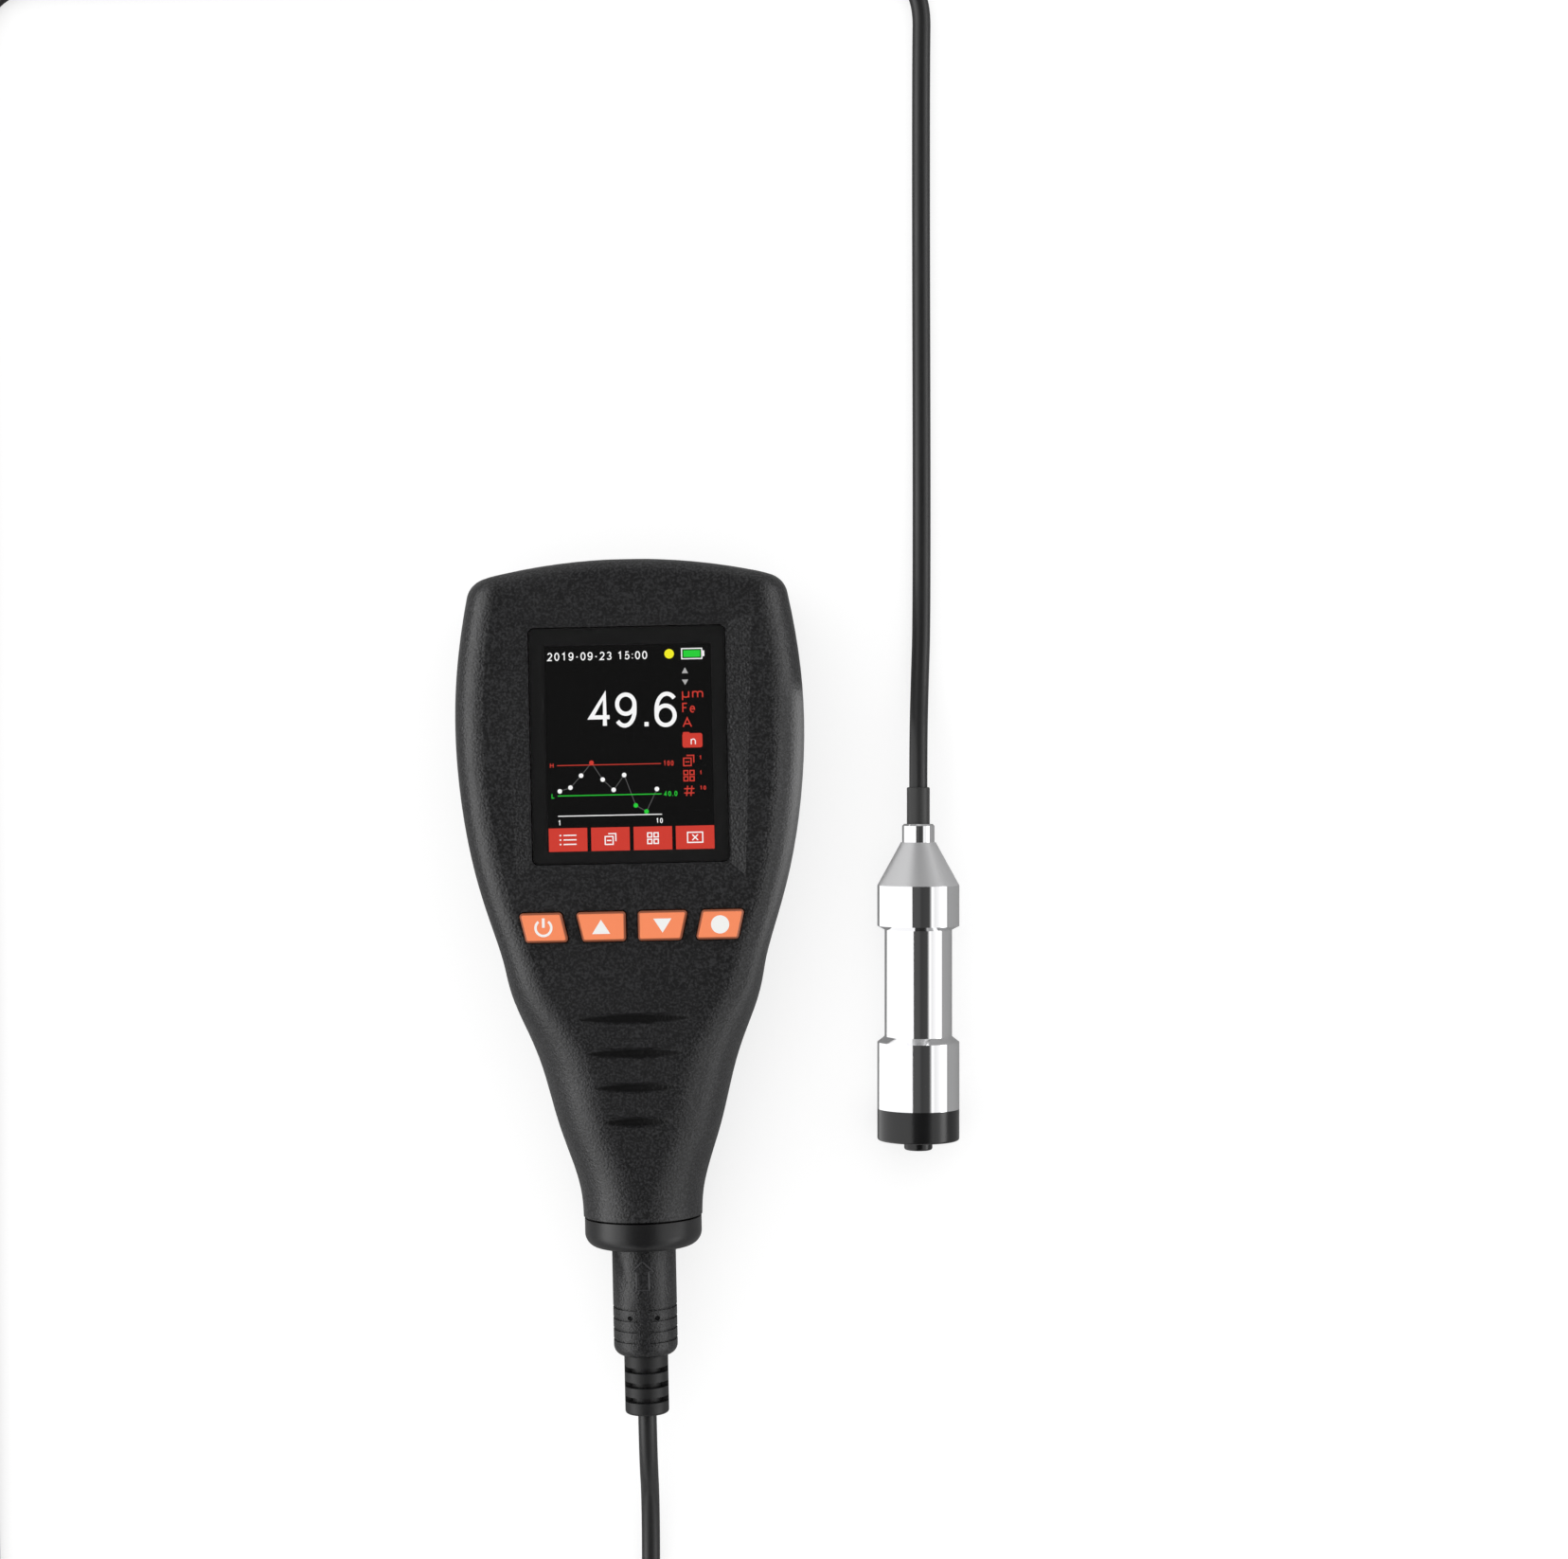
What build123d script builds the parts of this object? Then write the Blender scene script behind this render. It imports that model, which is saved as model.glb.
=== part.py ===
from build123d import *
import math
import os

# Coating thickness gauge: a paddle-shaped handset that lies on its back, with a stepped
# cylindrical probe on a plug-in lead beside it. Millimetres, +X to the right of the screen,
# +Y towards the top of the head, +Z out of the screen. The origin is on the flat back.

# Handset outline, seen from the front
head_half_width = 35.9
widest_y = 38.0
upper_side_radius = 122.0
lower_side_radius = 131.0
crown_y = 71.9
crown_radius = 124.0
taper_angle = 16.6
neck_blend_radius = 33.0
neck_radius = 12.45

# Handset depth and skin
head_depth = 33.0
slope_start_y = -12.0
neck_axis_z = 14.2
edge_radius = 7.0
swell_start_y = -4.0
swell_end_y = -30.0
crown_roll = 4.8
wall = 2.2
seam_lip_height = 1.4
seam_lip_clearance = 0.1
skin_flat = 0.15
face_trim = 0.03

# Window and the shallow dished field around it
window_width = 40.0
window_height = 48.1
window_y = 33.7
window_thickness = 1.5
window_corner = 1.2
window_clearance = 0.15
window_ledge = 2.2
ledge_thickness = 1.3
frame_margin = 2.4
dish_depth = 0.8
dish_width_top = 51.3
dish_width_bottom = 46.6
dish_reach_top = 2.5
dish_reach_bottom = 2.9
dish_floor_margin = 0.5

# Display module and its foam seal
screen_width = 34.1
screen_height = 42.1
screen_y = 33.2
seal_thickness = 0.7
seal_width = 1.65
module_width = 39.0
module_height = 50.5
module_thickness = 3.4
module_edge = 0.5
picture_sink = 0.3

# Keys: four skewed pads in a row, leaning towards the middle
key_row_y = -3.1
key_height = 6.0
key_rise = 1.5
key_slant = 1.4
key_gap_middle = 2.5
key_gap_outer = 2.9
inner_key_width = 10.15
outer_key_width = 8.65
key_corner = 0.7
key_top_edge = 0.5
key_clearance = 0.25
key_wall = 1.9
key_flange = 1.1
key_flange_thickness = 1.2
key_flange_clearance = 0.05
key_foot_width = 5.0
key_foot_height = 3.4
key_travel = 0.9
key_stop_gap = 0.05
key_bay_margin = 2.0
contact_thickness = 0.1

# Grip grooves below the keys
groove_count = 4
first_groove_y = -22.1
groove_pitch = 7.17
first_groove_half_length = 12.3
groove_shortening = 1.6
groove_depth = 0.85
groove_round = 1.25

# Main board, screw posts and screws
board_thickness = 1.6
board_inset = 0.6
board_end_y = -48.0
upper_post_x = 26.0
upper_post_y = 60.0
lower_post_x = 15.0
lower_post_y = -20.0
post_radius = 3.9
screw_radius = 1.3
screw_hole_clearance = 0.15
screw_head_radius = 2.4
screw_head_height = 1.8
screw_head_clearance = 0.3
screw_seat_z = 7.0
screw_bite = 4.0
screw_recess_radius = 1.2
screw_recess_depth = 1.1

# Battery compartment in the back of the head, two cells side by side
cell_radius = 7.1
cell_length = 49.2
cell_edge = 0.5
cell_nub_radius = 2.75
cell_nub_length = 1.3
cell_gap = 0.7
cell_clearance = 0.6
bay_start_y = 12.0
bay_wall = 1.5
spring_room = 2.6
plate_thickness = 0.4
plate_width = 9.0
plate_height = 10.0
contact_wire = 0.35
contact_turns = 2.5
contact_coil_radius = 2.9

# Battery door, a plate that slides off over the top end on two side tongues
door_half_width = 16.5
door_recess = 0.3
door_thickness = 1.7
door_clearance = 0.15
door_overlap = 1.2
door_end_length = 4.9
door_end_height = 6.0
tongue_depth = 1.1
tongue_thickness = 0.9
tongue_z = 0.9
rail_width = 1.9
rail_height = 1.2
door_ridge_count = 4
door_ridge_pitch = 2.4
door_ridge_radius = 0.7
door_ridge_depth = 0.45
door_ridge_length = 14.0
door_ridge_y = 52.0

# Collar and probe socket in the neck
collar_gap = 0.45
collar_radius = 12.25
collar_length = 6.05
collar_round = 3.0
collar_bore_clearance = 0.25
spigot_length = 7.0
spigot_clearance = 0.1
socket_radius = 8.5
socket_seat_depth = 3.0
socket_length = 12.0
socket_clearance = 0.1
socket_pin_radius = 0.4
socket_pin_reach = 4.0
socket_tail_length = 2.5
pin_count = 5
pin_circle = 2.1

# Plug on the lead
plug_radius = 6.7
plug_entry = 2.0
plug_length = 24.9
plug_shoulder = 2.2
plug_ring_count = 4
plug_ring_pitch = 2.27
plug_ring_width = 0.5
plug_ring_depth = 0.35
plug_last_ring = 3.5
plug_ring_bridge = 2.6
dimple_x = 2.85
dimple_radius = 0.55
dimple_depth = 0.8
dimple_from_end = 8.5
nose_radius = 4.55
nose_length = 8.6
nose_wall = 0.5
insert_length = 7.6
insert_hole_clearance = 0.1
relief_radius = 4.6
relief_length = 12.3
relief_slot_count = 3
relief_slot_pitch = 3.1
relief_slot_width = 1.15
relief_slot_depth = 1.5
relief_first_slot = 2.9
relief_round = 0.6
relief_spine = 1.6

# Probe, measured along its own axis from the end face of its black base
probe_x = 58.4
probe_y = -51.0
probe_lean = 1.2
probe_radius = 8.7
base_length = 6.7
base_edge = 0.5
base_spigot_radius = 7.3
base_spigot_length = 5.0
lower_band_length = 14.1
band_chamfer_length = 1.2
grip_radius = 7.15
grip_length = 22.6
barrel_bore = 5.9
barrel_joint_radius = 6.6
barrel_joint_length = 6.0
upper_chamfer_length = 0.8
upper_band_length = 8.6
cone_length = 9.1
cone_top_radius = 3.7
cap_bore_length = 12.0
probe_clearance = 0.1
gland_radius = 3.43
gland_length = 3.9
gland_edge = 0.4
gland_spigot_radius = 2.8
gland_spigot_length = 4.0
sleeve_radius = 2.43
sleeve_length = 7.8
sleeve_edge = 0.3
tip_radius = 3.0
tip_reach = 2.1
tip_floor = 4.2
tip_clearance = 0.12
tip_round = 0.5
tip_flange_radius = 5.4
tip_flange_length = 2.0
tip_flange_seat = 0.2
pole_radius = 1.0
pole_rise = 0.35
coil_radius = 5.0
coil_length = 8.0
core_radius = 1.2
tip_spring_wire = 0.4
tip_spring_radius = 4.0
tip_spring_turns = 5.0
tip_spring_length = 14.0

# Lead, as the corners of its route
lead_diameter = 3.9
lead_radius = lead_diameter / 2
lead_exit_run = 9.5
lead_route = [
    (-0.2, -127.9, 4.2),
    (-0.8, -153.9, 1.95),
    (-41.0, -153.0, 1.95),
    (-80.0, -153.7, 1.95),
    (-112.9, -153.0, 1.95),
    (-142.4, -153.2, 1.95),
    (-142.15, -123.0, 1.95),
    (-141.9, -75.0, 1.95),
    (-140.8, -21.0, 1.95),
    (-140.8, 33.0, 1.95),
    (-139.4, 87.0, 1.95),
    (-139.2, 139.0, 1.95),
    (-138.4, 171.4, 1.95),
    (-138.2, 200.6, 1.95),
    (-108.9, 200.1, 1.95),
    (-60.0, 200.7, 1.95),
    (-12.0, 200.0, 1.95),
    (37.5, 200.6, 1.95),
    (64.9, 200.9, 1.95),
    (63.9, 172.9, 1.95),
    (61.9, 62.0, 1.95),
    (60.9, 44.6, 3.6),
]

# Places worked out from the sizes above
taper = math.radians(taper_angle)
taper_start_y = widest_y - lower_side_radius * math.sin(taper)
taper_start_half = head_half_width - lower_side_radius * (1 - math.cos(taper))
blend_start_half = neck_radius + neck_blend_radius * (1 - math.cos(taper))
blend_start_y = taper_start_y - (taper_start_half - blend_start_half) / math.tan(taper)
neck_end_y = blend_start_y - neck_blend_radius * math.sin(taper)
parting_z = neck_axis_z
beyond = 2 * head_half_width
dish_floor_z = head_depth - dish_depth
ledge_z = dish_floor_z - window_thickness - window_clearance
frame_back_z = ledge_z - ledge_thickness
module_front_z = frame_back_z - seal_thickness
board_front_z = module_front_z - module_thickness
board_back_z = board_front_z - board_thickness
key_ceiling_z = head_depth - key_wall
key_flange_z = key_ceiling_z - key_flange_clearance
bay_half_width = 2 * cell_radius + cell_gap / 2 + cell_clearance
bay_length = cell_length + cell_nub_length + spring_room + 2 * plate_thickness
bay_end_y = bay_start_y + bay_length
cell_x = cell_radius + cell_gap / 2
cell_z = wall + cell_radius + cell_clearance / 2
bay_ceiling_z = cell_z + cell_radius + cell_clearance
door_start_y = bay_start_y - door_overlap
collar_end_y = neck_end_y - collar_gap - collar_length
plug_start_y = collar_end_y + plug_entry
plug_end_y = plug_start_y - plug_length
relief_end_y = plug_end_y - relief_length
socket_front_y = collar_end_y + socket_seat_depth
nose_end_y = plug_start_y + nose_length
collar_bore = plug_radius + collar_bore_clearance
lower_band_end = base_length + lower_band_length
grip_start = lower_band_end + band_chamfer_length
grip_end = grip_start + grip_length
upper_band_start = grip_end + upper_chamfer_length
upper_band_end = upper_band_start + upper_band_length
cone_end = upper_band_end + cone_length
gland_end = cone_end + gland_length
sleeve_end = gland_end + sleeve_length
tip_flange_start = base_length + base_spigot_length + tip_flange_seat
tip_flange_end = tip_flange_start + tip_flange_length
core_start = tip_floor - tip_reach
neck_frame = Location((0, 0, neck_axis_z))
probe_frame = Location((probe_x, probe_y, probe_radius), (0, 0, -probe_lean))
post_places = [
    (upper_post_x, upper_post_y),
    (-upper_post_x, upper_post_y),
    (lower_post_x, lower_post_y),
    (-lower_post_x, lower_post_y),
]


def block(x, y, z):
    """A box between two limits on each axis."""
    size = [abs(b - a) for a, b in (x, y, z)]
    middle = [(a + b) / 2 for a, b in (x, y, z)]
    return Location(middle) * Box(*size)


def rod(radius, start, end, x=0.0, y=0.0):
    """A cylinder along Z."""
    return Location((x, y, (start + end) / 2)) * Cylinder(radius, abs(end - start))


def turned(profile):
    """A body turned about the Y axis, from (radius, place along the axis) corners."""
    face = make_face(Polyline(*profile, close=True))
    return revolve(face, axis=Axis.Y)


# Handset skin


def half_width(y):
    """Half the handset's width at a height on the outline."""
    if y >= widest_y:
        rise = y - widest_y
        return head_half_width - upper_side_radius + math.sqrt(upper_side_radius**2 - rise**2)
    if y >= taper_start_y:
        fall = widest_y - y
        return head_half_width - lower_side_radius + math.sqrt(lower_side_radius**2 - fall**2)
    if y >= blend_start_y:
        return taper_start_half - (taper_start_y - y) * math.tan(taper)
    if y > neck_end_y:
        rise = y - neck_end_y
        return neck_radius + neck_blend_radius - math.sqrt(neck_blend_radius**2 - rise**2)
    return neck_radius


def blend(start, y):
    """How far a form has gone over to the neck's, from 0 at its start to 1 at the neck's end."""
    share = (start - y) / (start - neck_end_y)
    share = min(max(share, 0.0), 1.0)
    return share * share * (3 - 2 * share)


def front_z(y):
    """The front surface, which comes down to the neck below the keys."""
    full = head_depth + face_trim
    return full - blend(slope_start_y, y) * (full - neck_axis_z - neck_radius)


def back_z(y):
    """The back surface, straight under the head and a little raised at the neck."""
    full = -face_trim
    return full + blend(slope_start_y, y) * (neck_axis_z - neck_radius - full)


def section(y, inset):
    """The handset's section across its length, drawn in by an inset."""
    front = front_z(y) - inset
    back = back_z(y) + inset
    half = half_width(y) - inset
    share = min(max((swell_start_y - y) / (swell_start_y - swell_end_y), 0.0), 1.0)
    corner = edge_radius + share * share * (3 - 2 * share) * (neck_radius - edge_radius) - inset
    corner = min(corner, half - skin_flat, (front - back) / 2 - skin_flat)
    plane = Plane(origin=(0, y, (front + back) / 2), x_dir=(1, 0, 0), z_dir=(0, 1, 0))
    return plane * RectangleRounded(2 * half, front - back, corner)


def skin(inset=0.0, tail=0.0):
    """The handset's outer form, drawn in by an inset, with its neck longer by a tail.

    The sections stand a hair proud of the front and the back, which are then trimmed flat.
    """
    top_y = crown_y + crown_roll
    head = [top_y + (blend_start_y - top_y) * i / 9 for i in range(10)]
    neck = [blend_start_y + (neck_end_y - blend_start_y) * i / 3 for i in range(1, 4)]
    body = loft([section(y, inset) for y in head + neck])
    if tail > 0:
        body += extrude(section(neck_end_y, inset), -tail)
    crown = Location((0, crown_y - crown_radius, head_depth / 2))
    body = body & crown * Cylinder(crown_radius - inset, 3 * head_depth)
    rim = body.faces().sort_by(Axis.Y)[-1].edges()
    body = body.solid().fillet(crown_roll - inset, rim)
    return body & block((-beyond, beyond), (-2 * beyond, beyond), (inset, head_depth - inset))


def above(z):
    return block((-beyond, beyond), (neck_end_y - beyond, crown_y + beyond), (z, z + beyond))


def below(z):
    return block((-beyond, beyond), (neck_end_y - beyond, crown_y + beyond), (z, z - beyond))


outer_skin = skin()
inner_skin = skin(wall, tail=1.0)
lip_skin = skin(wall / 2, tail=1.0)
lip_rebate_skin = skin(wall / 2 - seam_lip_clearance, tail=1.0)
board_skin = skin(wall + board_inset)


# Front cover


def window_field(extra=0.0):
    return Location((0, window_y)) * RectangleRounded(
        window_width + 2 * extra, window_height + 2 * extra, window_corner + max(extra, 0)
    )


def window_opening():
    return Location((0, window_y)) * Rectangle(
        window_width - 2 * window_ledge, window_height - 2 * window_ledge
    )


def dish():
    """The shallow field around the window: four flat facets that fall to the window's edge."""
    top = window_y + window_height / 2
    bottom = window_y - window_height / 2
    side = window_width / 2 + dish_floor_margin
    inner = [(side, top + dish_floor_margin), (side, bottom - dish_floor_margin)]
    outer = [(dish_width_top / 2, top + dish_reach_top), (dish_width_bottom / 2, bottom - dish_reach_bottom)]
    beyond_edge = [(2 * b[0] - a[0], 2 * b[1] - a[1]) for a, b in zip(inner, outer)]
    levels = []
    for corners, z in ((inner, dish_floor_z), (beyond_edge, dish_floor_z + 2 * dish_depth)):
        outline = corners + [(-x, y) for x, y in reversed(corners)]
        levels.append(Location((0, 0, z)) * make_face(Polyline(*outline, close=True)))
    return loft(levels, ruled=True)


def groove(number):
    """One lens-shaped grip groove, cut by the lowest part of a large ring."""
    y = first_groove_y - number * groove_pitch
    half_length = first_groove_half_length - number * groove_shortening
    reach = (half_length**2 + groove_depth**2) / (2 * groove_depth)
    place = Location((0, y, front_z(y) - groove_depth + reach), (90, 0, 0))
    return place * Torus(reach - groove_round, groove_round)


def key_outline(side, outer, grow=0.0):
    """One skewed key: the middle pair has an upright inner side, the outer pair leans."""
    start = key_gap_middle / 2
    width = inner_key_width
    if outer:
        start += inner_key_width + key_gap_outer
        width = outer_key_width
    lean = key_slant if outer else 0.0
    top, bottom = key_row_y + key_height / 2, key_row_y - key_height / 2
    end = start + width
    corners = [(start, top), (end, top), (end - key_slant, bottom), (start - lean, bottom)]
    outline = make_face(Polyline(*[(side * x, y) for x, y in corners], close=True))
    outline = fillet(outline.vertices(), key_corner)
    return offset(outline, grow, kind=Kind.ARC) if grow else outline


def key_middle(side, outer):
    """The middle of a key, where its foot stands."""
    start = key_gap_middle / 2 + (inner_key_width + key_gap_outer if outer else 0.0)
    width = outer_key_width if outer else inner_key_width
    lean = key_slant if outer else key_slant / 2
    return side * (start + width / 2 - lean / 2), key_row_y


key_layout = {
    "power_key": (-1, True),
    "up_key": (-1, False),
    "down_key": (1, False),
    "record_key": (1, True),
}


def front_post(x, y):
    """A post down from the front wall onto the board, with its screw hole."""
    post = rod(post_radius, board_front_z, head_depth, x, y)
    return post & (lip_skin & above(parting_z))


def key_bay():
    """The flat-ceilinged pocket behind the keys."""
    reach = key_gap_middle / 2 + inner_key_width + key_gap_outer + outer_key_width
    x = reach + key_flange + key_bay_margin
    y = key_height / 2 + key_flange + key_bay_margin
    return block((-x, x), (key_row_y - y, key_row_y + y), (parting_z + wall, key_ceiling_z))


def front_cover():
    cover = (outer_skin & above(parting_z)) - inner_skin
    rebate = lip_rebate_skin & below(parting_z + seam_lip_height + seam_lip_clearance)
    cover -= rebate
    frame_place = Location((0, 0, frame_back_z))
    cover += extrude(frame_place * window_field(frame_margin), head_depth - frame_back_z) & lip_skin
    for x, y in post_places:
        cover += front_post(x, y)
    cover -= dish()
    cover -= extrude(Location((0, 0, ledge_z)) * window_field(window_clearance), head_depth)
    cover -= extrude(Location((0, 0, parting_z)) * window_opening(), head_depth)
    cover -= key_bay() & (lip_skin - window_guard())
    for side, outer in key_layout.values():
        opening = key_outline(side, outer, key_clearance)
        cover -= extrude(Location((0, 0, parting_z)) * opening, head_depth)
    for number in range(groove_count):
        cover -= groove(number)
    for x, y in post_places:
        cover -= rod(screw_radius, board_back_z, board_front_z + screw_bite, x, y)
    return cover.solids().sort_by(SortBy.VOLUME)[-1]


def window_guard():
    """The frame around the window, which the key pocket leaves alone."""
    return extrude(Location((0, 0, parting_z)) * window_field(frame_margin), head_depth)


def display_window():
    return extrude(Location((0, 0, ledge_z)) * window_field(), window_thickness)


def display_seal():
    ring = offset(window_opening(), seal_width, kind=Kind.INTERSECTION) - window_opening()
    return extrude(Location((0, 0, module_front_z)) * ring, seal_thickness)


def display_module():
    """The screen in its metal frame, with the picture area a little sunk."""
    body = extrude(
        Location((0, screen_y, board_front_z)) * Rectangle(module_width, module_height), module_thickness
    )
    body = chamfer(body.edges().filter_by(Axis.Z), module_edge)
    picture = Location((0, screen_y, module_front_z - picture_sink)) * Rectangle(screen_width, screen_height)
    return body - extrude(picture, module_thickness)


# Board, keys and screws


def main_board():
    slab = block((-beyond, beyond), (board_end_y, crown_y), (board_back_z, board_front_z))
    board = board_skin & slab
    for x, y in post_places:
        board -= rod(screw_radius + screw_hole_clearance, 0, head_depth, x, y)
    return board


def key(side, outer):
    """A key: the skewed cap, the flange that keeps it in, and the foot over its contact."""
    outline = key_outline(side, outer)
    cap = extrude(Location((0, 0, key_flange_z)) * outline, head_depth + key_rise - key_flange_z)
    cap = chamfer(cap.faces().sort_by(Axis.Z)[-1].edges(), key_top_edge)
    flange = extrude(
        Location((0, 0, key_flange_z - key_flange_thickness)) * key_outline(side, outer, key_flange),
        key_flange_thickness,
    )
    x, y = key_middle(side, outer)
    foot_z = board_front_z + contact_thickness + key_travel + key_stop_gap
    foot = block(
        (x - key_foot_width / 2, x + key_foot_width / 2),
        (y - key_foot_height / 2, y + key_foot_height / 2),
        (foot_z, key_flange_z - key_flange_thickness),
    )
    return cap + flange + foot


def key_contacts():
    """The gold pads on the board, one under each key."""
    pads = []
    for side, outer in key_layout.values():
        x, y = key_middle(side, outer)
        pad = Rectangle(key_foot_width, key_foot_height)
        pads.append(extrude(Location((x, y, board_front_z)) * pad, contact_thickness))
    return Compound(pads)


def screw(x, y):
    """A flat-headed screw, driven from the back into a front post."""
    end = board_front_z + screw_bite
    head = rod(screw_head_radius, screw_seat_z - screw_head_height, screw_seat_z, x, y)
    shank = rod(screw_radius, screw_seat_z, end, x, y)
    recess = rod(
        screw_recess_radius,
        screw_seat_z - screw_head_height,
        screw_seat_z - screw_head_height + screw_recess_depth,
        x,
        y,
    )
    return (head + shank - recess).solid()


def cover_screws():
    return Compound([screw(x, y) for x, y in post_places])


# Rear cover, battery compartment and door


def rear_post(x, y):
    post = rod(post_radius, 0, board_back_z, x, y)
    tall = block((-beyond, beyond), (neck_end_y, crown_y), (parting_z, board_back_z))
    return post & ((lip_skin & below(parting_z)) + (inner_skin & tall))


def battery_box():
    """The walls and ceiling around the two cells, with a rail beside each door edge."""
    outside = bay_half_width + bay_wall
    top = bay_ceiling_z + bay_wall
    walls = block((-outside, outside), (bay_start_y - bay_wall, crown_y), (wall / 2, top))
    rails = block(
        (-outside - rail_width, outside + rail_width),
        (door_start_y - bay_wall, crown_y),
        (wall / 2, wall + rail_height),
    )
    low = (walls + rails) & lip_skin & below(parting_z)
    high = walls & inner_skin & above(parting_z)
    return low + high


def door_opening():
    """What the rear cover leaves free for the door, its tongues and its end."""
    half = door_half_width + door_clearance
    start = door_start_y - door_clearance
    free = crown_y + beyond
    plate = block((-half, half), (start, free), (-beyond, door_recess + door_thickness + door_clearance))
    end_start = crown_y - door_end_length - door_clearance
    end = block((-half, half), (end_start, free), (-beyond, door_end_height + door_clearance))
    tongues = block(
        (-half - tongue_depth, half + tongue_depth),
        (start, free),
        (tongue_z - door_clearance, tongue_z + tongue_thickness + door_clearance),
    )
    return plate + end + tongues


def rear_cover():
    cover = (outer_skin & below(parting_z)) - inner_skin
    lip = lip_skin & above(parting_z - wall) & below(parting_z + seam_lip_height)
    lip &= block((-beyond, beyond), (neck_end_y, crown_y), (0, head_depth))
    cover += lip - inner_skin
    cover += battery_box()
    for x, y in post_places:
        cover += rear_post(x, y)
    cover -= block((-bay_half_width, bay_half_width), (bay_start_y, bay_end_y), (0, bay_ceiling_z))
    cover -= door_opening()
    for x, y in post_places:
        cover -= rod(screw_head_radius + screw_head_clearance, -beyond, screw_seat_z, x, y)
        cover -= rod(screw_radius + screw_hole_clearance, screw_seat_z, board_front_z, x, y)
    return cover.solids().sort_by(SortBy.VOLUME)[-1]


def battery_door():
    """The sliding door: a plate with side tongues, a rolled end and ribs for the thumb."""
    form = skin(door_recess)
    plate = block(
        (-door_half_width, door_half_width),
        (door_start_y, crown_y),
        (0, door_recess + door_thickness),
    )
    end_start = crown_y - door_end_length
    end = block((-door_half_width, door_half_width), (end_start, crown_y), (0, door_end_height))
    tongues = block(
        (-door_half_width - tongue_depth, door_half_width + tongue_depth),
        (door_start_y, bay_end_y),
        (tongue_z, tongue_z + tongue_thickness),
    )
    door = (form & (plate + end)) + tongues
    for number in range(door_ridge_count):
        y = door_ridge_y + number * door_ridge_pitch
        place = Location((0, y, door_recess + door_ridge_depth - door_ridge_radius), (0, 90, 0))
        door -= place * Cylinder(door_ridge_radius, door_ridge_length)
    return door


def cell(side):
    """One cell; the two lie head to tail, so the left one has its nub at the top."""
    body = Cylinder(cell_radius, cell_length)
    body = chamfer(body.edges(), cell_edge)
    nub = Location((0, 0, (cell_length + cell_nub_length) / 2)) * Cylinder(cell_nub_radius, cell_nub_length)
    turn = -90 if side < 0 else 90
    near_end = bay_start_y + plate_thickness + (spring_room if side < 0 else cell_nub_length)
    middle = near_end + cell_length / 2
    return Location((side * cell_x, middle, cell_z), (turn, 0, 0)) * (body + nub)


def contact_plate(side, y):
    plate = Box(plate_width, plate_thickness, plate_height)
    return Location((side * cell_x, y, cell_z)) * plate


def contact_plates():
    low, high = bay_start_y + plate_thickness / 2, bay_end_y - plate_thickness / 2
    return Compound([contact_plate(side, y) for side in (-1, 1) for y in (low, high)])


def coil_spring(radius, length, turns, wire):
    """A closed-ended coil of round wire along Z, centred on the origin plane."""
    pitch = (length - 2 * wire) / turns
    path = Helix(pitch, pitch * turns, radius)
    start = Plane(origin=path @ 0, z_dir=path % 0)
    coil = sweep(start * Circle(wire), path=path, is_frenet=True)
    return Location((0, 0, wire)) * coil


def battery_springs():
    """The two springs, each pressing on the flat end of a cell."""
    coil = coil_spring(contact_coil_radius, spring_room, contact_turns, contact_wire)
    left = Location((-cell_x, bay_start_y + plate_thickness, cell_z), (-90, 0, 0)) * coil
    right = Location((cell_x, bay_end_y - plate_thickness, cell_z), (90, 0, 0)) * coil
    return Compound([left, right])


# Collar, socket and plug


def end_collar():
    """The ring that closes the neck, with its spigot inside and a rounded end."""
    start, end = neck_end_y - collar_gap, collar_end_y
    spigot = neck_radius - wall - spigot_clearance
    seat = socket_radius + spigot_clearance
    ring = turned(
        [
            (collar_bore, end),
            (collar_radius, end),
            (collar_radius, start),
            (spigot, start),
            (spigot, neck_end_y + spigot_length),
            (seat, neck_end_y + spigot_length),
            (seat, socket_front_y),
            (collar_bore, socket_front_y),
        ]
    )
    rim = ring.edges().filter_by(GeomType.CIRCLE).sort_by(Axis.Y)[:2].sort_by(SortBy.RADIUS)[-1]
    return neck_frame * fillet(rim, collar_round)


def pin_places():
    for number in range(pin_count):
        angle = 2 * math.pi * (number + 0.5) / pin_count
        yield pin_circle * math.cos(angle), pin_circle * math.sin(angle)


def neck_pin(radius, start, end, x, z):
    """A pin along the neck's axis."""
    return Location((x, (start + end) / 2, z), (90, 0, 0)) * Cylinder(radius, abs(end - start))


def probe_socket():
    """The socket body, with the well that takes the plug's metal nose."""
    end = socket_front_y + socket_length
    floor = nose_end_y + socket_clearance * 3
    well = nose_radius + socket_clearance
    body = turned(
        [
            (well, socket_front_y),
            (socket_radius, socket_front_y),
            (socket_radius, end),
            (0, end),
            (0, floor),
            (well, floor),
        ]
    )
    for x, z in pin_places():
        body -= neck_pin(socket_pin_radius, floor - socket_clearance, end + socket_clearance, x, z)
    return neck_frame * body


def socket_pins():
    floor = nose_end_y + socket_clearance * 3
    start, end = floor - socket_pin_reach, socket_front_y + socket_length + socket_tail_length
    pins = [neck_pin(socket_pin_radius, start, end, x, z) for x, z in pin_places()]
    return Compound([neck_frame * pin for pin in pins])


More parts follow.
